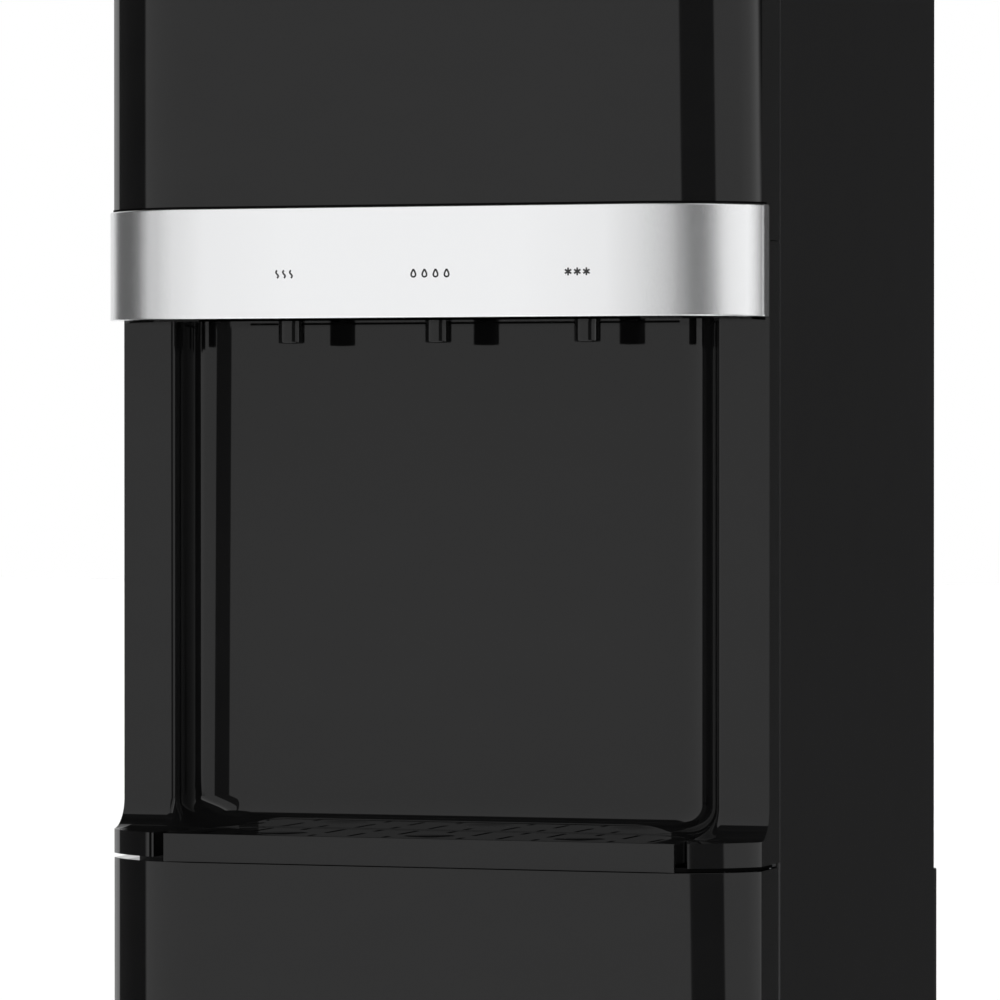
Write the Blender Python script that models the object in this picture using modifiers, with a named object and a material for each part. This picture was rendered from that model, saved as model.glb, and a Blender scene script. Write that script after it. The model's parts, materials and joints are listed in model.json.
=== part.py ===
"""Floor-standing water dispenser: glossy front mouldings, three nozzles in an alcove with a drip
tray, three push buttons, and a bottle bay behind a lower door.

Metres, +Z up, +X to the right of someone facing the front, +Y towards the back.
The origin is under the middle of the machine, on the floor.
"""

import math

import bmesh
import bpy
from mathutils import Vector

# ---- driving dimensions -------------------------------------------------------------------
HALF_WIDTH = 0.155
HEIGHT = 1.040
FRONT = -0.178            # the flat front plane
CABINET_BACK = 0.339      # the cabinet's back, measured from the front plane
CONDENSER_BACK = 0.358    # rearmost point, measured from the front plane
WALL = 0.003              # front mouldings
SHEET = 0.001             # folded steel
GAP = 0.0003              # between touching pieces
CUT = 0.010               # how far a cutter runs past a face

CORNER_RADIUS = 0.061     # front corners: an arc that stops at a crisp side edge
CORNER_X = 0.105
CORNER_STEPS = 9
STRIP_BACK = 0.0555       # where the front mouldings end and the side panels begin
PANEL_FRONT = 0.0562

BASE_BOTTOM = 0.012
BASE_TOP = 0.042
DOOR_BOTTOM = 0.045
DOOR_TOP = 0.560
LIP_BOTTOM = 0.562
PLATFORM = 0.573          # top of the lip, where a cup stands
CEILING = 0.806
BAND_BOTTOM = 0.807
BAND_TOP = 0.857
JOINT = 0.8412            # between the alcove moulding and the upper panel
PANEL_TOP = 1.029
DECK_TOP = 0.556
SHELF_TOP = 0.793

BAND_BACK = 0.0325        # where the silver band's side legs end
JAMB_Y = 0.0385           # flat faces beside the alcove, from the front plane
WALL_Y = 0.069            # the alcove's back wall
ALCOVE_WALL = 0.1299      # half-width inside
MOUTH_ROUND = 0.0031      # round on the jambs' inner edges
ALCOVE_CORNER = 0.027
COVE = 0.014              # round along the alcove's floor

TRAY_HALF = 0.1214
TRAY_FRONT = 0.002
TRAY_BACK = 0.0645
TRAY_CORNER = 0.036
TRAY_FLOOR = 0.5635
GRILLE_TOP = 0.5728
GRILLE_BOTTOM = 0.5703
RIM_INSET = 0.0026         # how far the ledge round the pan sits inside the tray's edge
END_CAP_X = 0.127
SLOT_PITCH = 0.01775
SLOT_WIDTH = 0.0025
GAP_BACK = 0.020          # how far back the gaps beside the tray run
DISH_RADIUS = 0.0125      # hollows in the grille under the nozzles
DISH_DEPTH = 0.0012
DISH_Y = 0.0225

NOZZLE_PITCH = 0.071
NOZZLE_Y = 0.0345
NOZZLE_RADIUS = 0.006
NOZZLE_BOTTOM = 0.7963
FUNCTIONS = ("hot", "normal", "cold")

BUTTON_Z = 0.990
BUTTON_RADIUS = 0.0115
BUTTON_PROUD = 0.002

ROCKER_TILT = 7.0         # degrees off level at rest, and as far the other way when switched

HINGE_X = 0.151
HINGE_Y = 0.0515
PIN_RADIUS = 0.0015


# ---- materials ----------------------------------------------------------------------------
def make_material(name, colour, roughness, metallic=0.0):
    material = bpy.data.materials.new(name)
    material.use_nodes = True
    shader = material.node_tree.nodes["Principled BSDF"]
    shader.inputs["Base Color"].default_value = (*colour, 1.0)
    shader.inputs["Roughness"].default_value = roughness
    shader.inputs["Metallic"].default_value = metallic
    material.diffuse_color = (*colour, 1.0)
    return material


def make_materials():
    return {
        "gloss": make_material("gloss_black", (0.004, 0.004, 0.004), 0.05),
        "satin": make_material("satin_black", (0.010, 0.010, 0.011), 0.45),
        "silver": make_material("silver_paint", (0.72, 0.73, 0.74), 0.35, 0.7),
        "sheet": make_material("dark_steel", (0.016, 0.016, 0.017), 0.40, 0.2),
        "zinc": make_material("zinc_steel", (0.45, 0.46, 0.47), 0.45, 0.9),
        "stainless": make_material("stainless", (0.60, 0.60, 0.61), 0.28, 1.0),
        "rubber": make_material("black_rubber", (0.012, 0.012, 0.012), 0.80),
        "foam": make_material("white_foam", (0.80, 0.80, 0.78), 0.85),
        "white": make_material("white_plastic", (0.75, 0.75, 0.73), 0.45),
        "hose": make_material("silicone_hose", (0.70, 0.72, 0.72), 0.40),
        "board": make_material("green_board", (0.02, 0.13, 0.05), 0.50),
        "enamel": make_material("black_enamel", (0.008, 0.008, 0.008), 0.30),
        "red": make_material("red_plastic", (0.55, 0.02, 0.02), 0.35),
        "blue": make_material("blue_plastic", (0.02, 0.10, 0.50), 0.35),
    }


# ---- building blocks ----------------------------------------------------------------------
def at(y):
    """World Y of a depth measured back from the front plane."""
    return FRONT + y


def add_object(name, mesh, material=None, cutter=False):
    piece = bpy.data.objects.new(name, mesh)
    bpy.data.collections["cutters" if cutter else "water_dispenser"].objects.link(piece)
    if cutter:
        piece.hide_render = True
        piece.display_type = "WIRE"
    if material is not None:
        mesh.materials.append(material)
    return piece


def mesh_from(name, fill):
    mesh = bpy.data.meshes.new(name)
    shape = bmesh.new()
    fill(shape)
    shape.to_mesh(mesh)
    shape.free()
    return mesh


def box(name, x, y, z, material=None, cutter=False, bevel=0.0):
    """A box from its X, depth and Z ranges."""
    size = Vector((x[1] - x[0], y[1] - y[0], z[1] - z[0]))

    def fill(shape):
        bmesh.ops.create_cube(shape, size=1.0)
        bmesh.ops.scale(shape, vec=size, verts=shape.verts)

    piece = add_object(name, mesh_from(name, fill), material, cutter)
    piece.location = ((x[0] + x[1]) / 2, at((y[0] + y[1]) / 2), (z[0] + z[1]) / 2)
    if bevel:
        add_bevel(piece, bevel)
    return piece


def drum(name, radius, z, centre, material=None, cutter=False, sides=24, bevel=0.0):
    """An upright cylinder; centre is its X and depth."""

    def fill(shape):
        bmesh.ops.create_cone(
            shape, cap_ends=True, segments=sides, radius1=radius, radius2=radius, depth=z[1] - z[0]
        )

    piece = add_object(name, mesh_from(name, fill), material, cutter)
    piece.location = (centre[0], at(centre[1]), (z[0] + z[1]) / 2)
    if bevel:
        add_bevel(piece, bevel)
    return piece


def rod(name, radius, y, centre, material=None, cutter=False, sides=24, bevel=0.0):
    """A cylinder that runs front to back; centre is its X and Z."""
    half = (y[1] - y[0]) / 2
    piece = drum(name, radius, (-half, half), (0, 0), material, cutter, sides, bevel)
    piece.rotation_euler = (math.radians(90), 0, 0)
    piece.location = (centre[0], at((y[0] + y[1]) / 2), centre[1])
    return piece


def prism(name, outline, z, material=None, cutter=False):
    """A flat outline of (x, world y) points, raised between two heights."""
    curve = bpy.data.curves.new(name, "CURVE")
    curve.dimensions = "2D"
    curve.fill_mode = "BOTH"
    curve.extrude = (z[1] - z[0]) / 2
    curve.render_resolution_u = 0
    spline = curve.splines.new("POLY")
    spline.points.add(len(outline) - 1)
    for point, (x, y) in zip(spline.points, outline):
        point.co = (x, y, 0, 1)
    spline.use_cyclic_u = True
    return curve_to_mesh(name, curve, (z[0] + z[1]) / 2, material, cutter)


def curve_to_mesh(name, curve, height, material, cutter=False):
    """Turns a curve into a closed mesh, with its caps welded on."""
    guide = bpy.data.objects.new(name + "_curve", curve)
    bpy.context.scene.collection.objects.link(guide)
    bpy.context.view_layer.update()
    mesh = bpy.data.meshes.new_from_object(guide.evaluated_get(bpy.context.evaluated_depsgraph_get()))
    bpy.data.objects.remove(guide)
    shape = bmesh.new()
    shape.from_mesh(mesh)
    bmesh.ops.remove_doubles(shape, verts=shape.verts, dist=1e-6)
    bmesh.ops.recalc_face_normals(shape, faces=shape.faces)
    shape.to_mesh(mesh)
    shape.free()
    mesh.materials.clear()
    piece = add_object(name, mesh, material, cutter)
    piece.location.z = height
    return piece


def tube(name, points, radius, material, sides_level=2):
    """A round pipe along points given as (x, depth, z)."""
    curve = bpy.data.curves.new(name, "CURVE")
    curve.dimensions = "3D"
    curve.bevel_depth = radius
    curve.bevel_resolution = sides_level
    curve.use_fill_caps = True
    curve.render_resolution_u = 0
    spline = curve.splines.new("POLY")
    spline.points.add(len(points) - 1)
    for point, (x, y, z) in zip(spline.points, points):
        point.co = (x, at(y), z, 1)
    return curve_to_mesh(name, curve, 0.0, material)


def loft(name, sections, material=None, cutter=False):
    """A solid through level outlines of equal length, given bottom to top as (outline, z)."""

    def fill(shape):
        rings = [[shape.verts.new((x, y, z)) for x, y in outline] for outline, z in sections]
        for low, high in zip(rings, rings[1:]):
            for index, corner in enumerate(low):
                following = (index + 1) % len(low)
                shape.faces.new((corner, low[following], high[following], high[index]))
        shape.faces.new(rings[0][::-1])
        shape.faces.new(rings[-1])
        bmesh.ops.recalc_face_normals(shape, faces=shape.faces)

    return add_object(name, mesh_from(name, fill), material, cutter)


def smooth_route(knots, per_span):
    """A Catmull-Rom curve through the knots, as (x, depth, z) points."""
    padded = [knots[0], *knots, knots[-1]]
    route = []
    for a, b, c, d in zip(padded, padded[1:], padded[2:], padded[3:]):
        for step in range(per_span):
            t = step / per_span
            route.append(tuple(
                0.5 * (2 * q + (r - p) * t + (2 * p - 5 * q + 4 * r - s) * t * t
                       + (3 * q - p - 3 * r + s) * t ** 3)
                for p, q, r, s in zip(a, b, c, d)
            ))
    route.append(knots[-1])
    return route


def turned(name, profile, centre, material, steps=24):
    """A shape turned about an upright axis from (radius, z) points, top to bottom on the outside."""

    def fill(shape):
        points = [shape.verts.new((radius, 0, z)) for radius, z in profile]
        for first, second in zip(points, points[1:]):
            shape.edges.new((first, second))

    piece = add_object(name, mesh_from(name, fill), material)
    piece.location = (centre[0], at(centre[1]), 0)
    screw = piece.modifiers.new("turn", "SCREW")
    screw.steps = steps
    screw.render_steps = steps
    screw.use_merge_vertices = True
    screw.merge_threshold = 0.00001
    return piece


def add_bevel(piece, width, segments=2):
    bevel = piece.modifiers.new("edges", "BEVEL")
    bevel.width = width
    bevel.segments = segments
    bevel.limit_method = "ANGLE"


def cut(piece, *cutters):
    for cutter in cutters:
        boolean = piece.modifiers.new("cut " + cutter.name, "BOOLEAN")
        boolean.operation = "DIFFERENCE"
        boolean.solver = "EXACT"
        boolean.object = cutter


def join(piece, *others):
    for other in others:
        boolean = piece.modifiers.new("join " + other.name, "BOOLEAN")
        boolean.operation = "UNION"
        boolean.solver = "EXACT"
        boolean.object = other


# ---- plan outlines ------------------------------------------------------------------------
def front_corner(side, offset):
    """One front corner, from the flat front to the crisp side edge, moved out by offset."""
    radius = CORNER_RADIUS + offset
    sweep = math.asin((HALF_WIDTH + offset - CORNER_X) / radius)
    angles = [sweep * step / CORNER_STEPS for step in range(CORNER_STEPS + 1)]
    return [
        (side * (CORNER_X + radius * math.sin(angle)), at(CORNER_RADIUS - radius * math.cos(angle)))
        for angle in angles
    ]


def front_edge(offset, back):
    """The front mouldings' open outline, from the left side round the front to the right."""
    half = HALF_WIDTH + offset
    left = front_corner(-1, offset)[::-1]
    return [(-half, at(back)), *left, *front_corner(1, offset), (half, at(back))]


def front_shell(outer, inner, back):
    """A wall that follows the front, between two offsets."""
    return front_edge(outer, back) + front_edge(inner, back)[::-1]


def tray_outline(inset, front, steps=8):
    """The drip tray's outline: square at the front, wide arcs at the back."""
    half = TRAY_HALF - inset
    radius = TRAY_CORNER - inset
    points = [(-half, at(front)), (half, at(front))]
    for start, side in ((0, 1), (90, -1)):
        centre = (side * (TRAY_HALF - TRAY_CORNER), at(TRAY_BACK - TRAY_CORNER))
        for step in range(steps + 1):
            angle = math.radians(start + 90 * step / steps)
            points.append((centre[0] + radius * math.cos(angle), centre[1] + radius * math.sin(angle)))
    return points


# ---- front mouldings ----------------------------------------------------------------------
def function_x(index):
    return (index - 1) * NOZZLE_PITCH


def build_upper_panel(mats):
    outline = front_shell(0, -WALL, STRIP_BACK)
    panel = prism("upper_front_panel", outline, (JOINT + GAP, PANEL_TOP), mats["gloss"])
    for index, name in enumerate(FUNCTIONS):
        centre = (function_x(index), BUTTON_Z)
        cut(panel, rod(name + "_button_window", BUTTON_RADIUS + 0.0006, (-CUT, CUT), centre, cutter=True))


def build_band(mats):
    prism("silver_band", front_shell(0.0017, GAP, BAND_BACK), (BAND_BOTTOM, BAND_TOP), mats["silver"])


def alcove_edge(inset):
    """The alcove's walls in plan, from beyond the left jamb to beyond the right, moved in by inset."""
    far = HALF_WIDTH + CUT
    mouth = (ALCOVE_WALL + MOUTH_ROUND, JAMB_Y + MOUTH_ROUND)
    corner = (ALCOVE_WALL - ALCOVE_CORNER, WALL_Y - ALCOVE_CORNER)
    right = [(far, at(JAMB_Y - inset))]
    for step in range(5):
        angle = math.radians(90 * step / 4)
        radius = MOUTH_ROUND + inset
        right.append((mouth[0] - radius * math.sin(angle), at(mouth[1] - radius * math.cos(angle))))
    for step in range(9):
        angle = math.radians(90 * step / 8)
        radius = ALCOVE_CORNER - inset
        right.append((corner[0] + radius * math.cos(angle), at(corner[1] + radius * math.sin(angle))))
    left = [(-x, y) for x, y in reversed(right)]
    return right + left


def alcove_cutter():
    """The open space in front of the jambs and inside the alcove, with a cove along its floor."""
    far = HALF_WIDTH + CUT
    front = [(-far, at(-CUT)), (far, at(-CUT))]
    sections = []
    for step in range(7):
        angle = math.radians(90 * step / 6)
        height = PLATFORM + COVE * (1 - math.cos(angle))
        sections.append((front + alcove_edge(COVE * (1 - math.sin(angle))), height))
    sections.append((front + alcove_edge(0), CEILING))
    return loft("alcove_space", sections, cutter=True)


def build_alcove(mats):
    """The middle moulding: header, jambs, back wall and the platform that the tray slides into."""
    inner = 0.140
    back = 0.0725
    outline = front_edge(0, STRIP_BACK) + [
        (inner, at(STRIP_BACK)), (inner, at(back)), (-inner, at(back)), (-inner, at(STRIP_BACK)),
    ]
    moulding = prism("alcove_moulding", outline, (LIP_BOTTOM, JOINT), mats["gloss"])
    header = front_edge(-WALL, STRIP_BACK - WALL) + [
        (inner - WALL, at(STRIP_BACK - WALL)), (inner - WALL, at(back - WALL)),
        (-inner + WALL, at(back - WALL)), (-inner + WALL, at(STRIP_BACK - WALL)),
    ]
    cutters = [
        alcove_cutter(),
        prism("header_space", header, (CEILING + WALL, JOINT + CUT), cutter=True),
        prism("tray_space", tray_outline(-0.0005, -CUT), (TRAY_FLOOR - GAP, PLATFORM + 0.03), cutter=True),
    ]
    lip_heights = (LIP_BOTTOM - CUT, PLATFORM + CUT)
    cutters.append(box("lip_space", (-END_CAP_X, END_CAP_X), (-CUT, GAP_BACK), lip_heights, cutter=True))
    for side, x in (("left", (-0.152, -0.1325)), ("right", (0.1325, 0.152))):
        cutters.append(box(side + "_jamb_space", x, (0.0415, 0.1), (0.590, CEILING - WALL), cutter=True))
    for index, name in enumerate(FUNCTIONS):
        cutters.append(
            drum(name + "_nozzle_hole", NOZZLE_RADIUS + GAP, (CEILING - CUT, CEILING + CUT),
                 (function_x(index), NOZZLE_Y), cutter=True)
        )
    cut(moulding, *cutters)


def build_tray(mats):
    """The drip tray, a pan behind a taller front, and the grille that lies in its rim."""
    width = (-TRAY_HALF, TRAY_HALF)
    tray = prism("drip_tray", tray_outline(0, TRAY_FRONT + 0.004), (TRAY_FLOOR, PLATFORM), mats["gloss"])
    front_depth = (TRAY_FRONT, TRAY_FRONT + 0.003)
    front = box("tray_front", width, front_depth, (DOOR_TOP + GAP, PLATFORM), cutter=True)
    link_depth = (TRAY_FRONT + 0.0015, TRAY_FRONT + 0.006)
    join(tray, front, box("tray_link", width, link_depth, (TRAY_FLOOR, PLATFORM), cutter=True))
    pan = tray_outline(RIM_INSET + 0.0020, TRAY_FRONT + 0.005)
    rim = tray_outline(RIM_INSET, TRAY_FRONT + 0.003)
    cut(
        tray,
        prism("pan_space", pan, (TRAY_FLOOR + 0.0015, PLATFORM + CUT), cutter=True),
        prism("rim_space", rim, (GRILLE_BOTTOM - GAP, PLATFORM + CUT), cutter=True),
    )
    build_grille(mats)


def build_grille(mats):
    """A plate with staggered slots and a shallow hollow under each nozzle."""
    outline = tray_outline(RIM_INSET + GAP, TRAY_FRONT + 0.0033)
    grille = prism("drip_grille", outline, (GRILLE_BOTTOM, GRILLE_TOP), mats["satin"])
    heights = (GRILLE_BOTTOM - CUT, GRILLE_TOP + CUT)
    for column in range(-6, 7):
        x = column * SLOT_PITCH
        spans = [(0.0085, 0.018), (0.031, 0.0575)]
        if column % 2 == 0:
            spans = [(0.012, 0.0345), (0.0475, 0.0595)]
        if column in (-4, 0, 4):
            dish = (GRILLE_TOP - DISH_DEPTH, GRILLE_TOP + CUT)
            cut(grille, drum(f"dish_{column + 6}", DISH_RADIUS, dish, (x, DISH_Y), cutter=True))
            spans = spans[1:]
        if abs(column) == 6:
            spans = [(0.012, 0.0345)]
        for row, span in enumerate(spans):
            width = (x - SLOT_WIDTH / 2, x + SLOT_WIDTH / 2)
            cut(grille, box(f"slot_{column + 6}_{row}", width, span, heights, cutter=True))


def build_nozzles(mats):
    for index, name in enumerate(FUNCTIONS):
        bore = 0.0035
        base = CEILING + WALL + GAP
        profile = [
            (bore, base + 0.009), (0.0050, base + 0.009), (0.0050, base + 0.002), (0.0090, base + 0.002),
            (0.0090, base), (NOZZLE_RADIUS, base), (NOZZLE_RADIUS, NOZZLE_BOTTOM), (bore, NOZZLE_BOTTOM),
            (bore, base + 0.009),
        ]
        turned(name + "_nozzle", profile, (function_x(index), NOZZLE_Y), mats["gloss"], steps=16)


def build_buttons(mats):
    """Three push buttons, each a cap with a flange behind the panel, and the board they press."""
    for index, name in enumerate(FUNCTIONS):
        centre = (function_x(index), BUTTON_Z)
        depth = (-BUTTON_PROUD, 0.009)
        cap = rod(name + "_button", BUTTON_RADIUS, depth, centre, mats["gloss"], bevel=0.0006)
        behind = (WALL + 0.0005, WALL + 0.0025)
        join(cap, rod(name + "_button_flange", BUTTON_RADIUS + 0.002, behind, centre, cutter=True))
    heights = (BUTTON_Z - 0.018, BUTTON_Z + 0.018)
    board = box("button_board", (-0.095, 0.095), (0.0170, 0.0186), heights, mats["board"])
    heights = (BUTTON_Z - 0.004, BUTTON_Z + 0.004)
    for index, name in enumerate(FUNCTIONS):
        width = (function_x(index) - 0.004, function_x(index) + 0.004)
        join(board, box(name + "_switch_body", width, (0.0125, 0.0175), heights, cutter=True))


# ---- door ---------------------------------------------------------------------------------
def build_door(mats):
    chamfer = 0.0015
    half = HALF_WIDTH
    outline = front_edge(0, STRIP_BACK - 0.001)
    outline[-1] = (half, at(STRIP_BACK - 0.001 - chamfer))
    outline += [(half - chamfer, at(STRIP_BACK - 0.001))]
    skin = prism("door_skin", outline, (DOOR_BOTTOM, DOOR_TOP), mats["gloss"])
    inner = front_edge(-WALL, STRIP_BACK + CUT)
    cut(skin, prism("door_space", inner, (DOOR_BOTTOM + WALL, DOOR_TOP - WALL), cutter=True))
    for name, heights in (
        ("upper", (DOOR_TOP - 2 * WALL, DOOR_TOP + CUT)),
        ("lower", (DOOR_BOTTOM - CUT, DOOR_BOTTOM + 2 * WALL)),
    ):
        radius = PIN_RADIUS + 0.0004
        cut(skin, drum(name + "_pin_hole", radius, heights, (HINGE_X, HINGE_Y), cutter=True, sides=12))
    depth = (0.043, STRIP_BACK + CUT)
    cut(skin, box("grip_space", (-half - CUT, -half + 0.006), depth, (0.36, 0.46), cutter=True))
    heights = (DOOR_BOTTOM + 0.0035, DOOR_TOP - 0.0035)
    box("door_liner", (-0.1517, 0.1517), (0.029, 0.032), heights, mats["satin"])
    box("door_magnet", (-0.144, -0.132), (0.0323, 0.0545), (0.290, 0.330), mats["zinc"])
    box("strike_plate", (-0.1500, -0.1305), (0.0549, 0.0559), (0.285, 0.335), mats["zinc"])


def build_hinges(mats):
    """Two brackets whose pins carry the door."""
    axis = (HINGE_X, HINGE_Y)
    depth = (0.0480, 0.0552)
    heights = (DOOR_TOP + 0.0005, DOOR_TOP + 0.0017)
    upper = box("upper_hinge_bracket", (0.1280, 0.1535), depth, heights, mats["zinc"])
    pin = (DOOR_TOP - 0.0055, DOOR_TOP + 0.0010)
    join(upper, drum("upper_pin", PIN_RADIUS, pin, axis, cutter=True, sides=12))
    lower = box("lower_hinge_bracket", (0.1280, 0.1530), depth, (BASE_TOP + GAP, 0.0443), mats["zinc"])
    join(lower, drum("lower_pin", PIN_RADIUS, (0.0438, 0.0505), axis, cutter=True, sides=12))


# ---- cabinet ------------------------------------------------------------------------------
def build_side_panel(mats, name, side):
    """Folded sheet: a flat side with a flange turned in at the front and at the back."""
    outer = HALF_WIDTH
    inner = outer - SHEET
    flange = outer - 0.012
    front, back = at(PANEL_FRONT), at(CABINET_BACK)
    outline = [
        (flange, front), (outer, front), (outer, back), (flange, back),
        (flange, back - SHEET), (inner, back - SHEET), (inner, front + SHEET), (flange, front + SHEET),
    ]
    prism(name, [(side * x, y) for x, y in outline], (BASE_TOP + GAP, PANEL_TOP), mats["sheet"])


def build_cabinet(mats):
    build_side_panel(mats, "left_side_panel", -1)
    build_side_panel(mats, "right_side_panel", 1)

    base_outline = front_edge(-0.002, CABINET_BACK)
    base = prism("base_plinth", base_outline, (BASE_BOTTOM, BASE_TOP), mats["satin"])
    hollow = front_edge(-0.006, CABINET_BACK - 0.004)
    cut(base, prism("base_space", hollow, (0.0, BASE_TOP - 0.004), cutter=True))
    for name, x, y in (
        ("front_left_foot", -0.12, 0.045), ("front_right_foot", 0.12, 0.045),
        ("rear_left_foot", -0.12, 0.30), ("rear_right_foot", 0.12, 0.30),
    ):
        drum(name, 0.016, (0.0, BASE_TOP - 0.004 - GAP), (x, y), mats["rubber"], bevel=0.0015)

    cover = prism("top_cover", front_edge(0, CABINET_BACK), (PANEL_TOP + GAP, HEIGHT), mats["satin"])
    hollow = front_edge(-0.004, CABINET_BACK - 0.004)
    cut(cover, prism("cover_space", hollow, (0.0, HEIGHT - 0.003), cutter=True))

    inside = HALF_WIDTH - SHEET - GAP
    depth = (PANEL_FRONT + SHEET + GAP, CABINET_BACK - SHEET - GAP)
    deck = box("mid_deck", (-inside, inside), depth, (DECK_TOP - 0.008, DECK_TOP), mats["zinc"])
    cut(deck, box("hose_slot", (0.085, 0.145), (0.295, 0.325), (0.5, 0.6), cutter=True))
    heights = (SHELF_TOP - 0.003, SHELF_TOP)
    shelf = box("tank_shelf", (-inside, inside), (0.080, depth[1]), heights, mats["zinc"])
    cut(shelf, box("pipe_slot", (-0.03, 0.03), (0.30, 0.33), (0.7, 0.85), cutter=True))
    pan = box("bottle_shelf", (-0.150, 0.150), (0.0585, 0.335), (BASE_TOP + GAP, 0.050), mats["satin"])
    cut(pan, box("pan_hollow", (-0.146, 0.146), (0.0625, 0.331), (0.0455, 0.06), cutter=True))

    flange = HALF_WIDTH - 0.012 - GAP
    sheet_y = (CABINET_BACK - SHEET, CABINET_BACK)
    box("rear_lower_panel", (-flange, flange), sheet_y, (BASE_TOP + GAP, 0.5475), mats["sheet"])
    rear = box("rear_upper_panel", (-flange, flange), sheet_y, (0.5485, PANEL_TOP), mats["sheet"])
    for row in range(6):
        for side in (-1, 1):
            x = (side * 0.065 - 0.030, side * 0.065 + 0.030)
            z = 0.690 + row * 0.020
            cut(rear, box(f"vent_{row}_{side + 1}", x, (0.33, 0.35), (z, z + 0.005), cutter=True))
    cut(
        rear,
        box("switch_window", (0.0725, 0.1175), (0.33, 0.35), (0.9205, 0.9395), cutter=True),
        rod("gland_window", 0.0073, (0.33, 0.35), (-0.050, 0.600), cutter=True),
        rod("drain_window", 0.0083, (0.33, 0.35), (0.105, 0.600), cutter=True),
        rod("line_window", 0.0065, (0.33, 0.35), (-0.110, 0.640), cutter=True),
    )


# ---- cooling, heating and water -----------------------------------------------------------
def build_tanks(mats):
    cold = (-0.060, 0.225)
    turned("cold_tank_foam", [
        (0.083, 0.990), (0.083, SHELF_TOP + GAP), (0.0, SHELF_TOP + GAP),
        (0.0, 0.812), (0.064, 0.812), (0.064, 0.990), (0.083, 0.990),
    ], cold, mats["foam"])
    turned("cold_tank", [
        (0.0, 0.985), (0.058, 0.985), (0.062, 0.981), (0.062, 0.822), (0.050, 0.8125), (0.0, 0.8125),
    ], cold, mats["stainless"])
    drum("cold_tank_lid", 0.083, (0.9903, 1.004), cold, mats["foam"], bevel=0.003)
    hot = (0.088, 0.165)
    turned("hot_tank", [
        (0.0, 0.960), (0.040, 0.958), (0.048, 0.948), (0.050, 0.935), (0.050, 0.815),
        (0.046, 0.800), (0.036, SHELF_TOP + GAP), (0.0, SHELF_TOP + GAP),
    ], hot, mats["stainless"])
    rod("heater_flange", 0.018, (0.1005, 0.1120), (hot[0], 0.880), mats["zinc"])


def build_compressor(mats):
    turned("compressor", [
        (0.0, 0.735), (0.030, 0.733), (0.052, 0.722), (0.064, 0.700), (0.066, 0.670), (0.066, 0.615),
        (0.062, 0.590), (0.045, 0.574), (0.0, 0.572),
    ], (0.030, 0.235), mats["enamel"])
    plate = box("compressor_bracket", (-0.045, 0.105), (0.150, 0.320), (0.5680, 0.5715), mats["zinc"])
    for index, (x, y) in enumerate(((-0.038, 0.157), (0.098, 0.157), (-0.038, 0.313), (0.098, 0.313))):
        join(plate, drum(f"grommet_{index}", 0.006, (DECK_TOP + GAP, 0.570), (x, y), cutter=True, sides=12))


def condenser_route():
    """A serpentine: level runs joined by half-turns at alternate ends."""
    runs, pitch, half, low = 8, 0.050, 0.118, 0.170
    y = CONDENSER_BACK - 0.0026
    points = []
    for run in range(runs):
        z = low + run * pitch
        side = 1 if run % 2 == 0 else -1
        points.append((-side * half, y, z))
        points.append((side * half, y, z))
        if run < runs - 1:
            for step in range(1, 6):
                angle = math.pi * step / 6
                x = side * (half + pitch / 2 * math.sin(angle))
                points.append((x, y, z + pitch / 2 * (1 - math.cos(angle))))
    return points


def build_cooling_line(mats):
    tube("condenser", condenser_route(), 0.0026, mats["enamel"])
    for side, x in (("left", -0.1515), ("right", 0.1465)):
        depth = (CABINET_BACK + GAP, 0.3575)
        box(side + "_condenser_strip", (x, x + 0.005), depth, (0.150, 0.540), mats["enamel"])
    knots = [(0.030, 0.235, 0.7375), (0.030, 0.240, 0.755), (-0.020, 0.270, 0.760),
             (-0.090, 0.300, 0.700), (-0.110, 0.322, 0.645), (-0.110, 0.340, 0.640),
             (-0.122, 0.352, 0.625), (-0.135, 0.3548, 0.580), (-0.135, 0.3548, 0.538),
             (-0.128, 0.3548, 0.522), (-0.1184, 0.3548, 0.520)]
    tube("refrigerant_line", smooth_route(knots, 4), 0.0026, mats["enamel"], sides_level=1)


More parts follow.
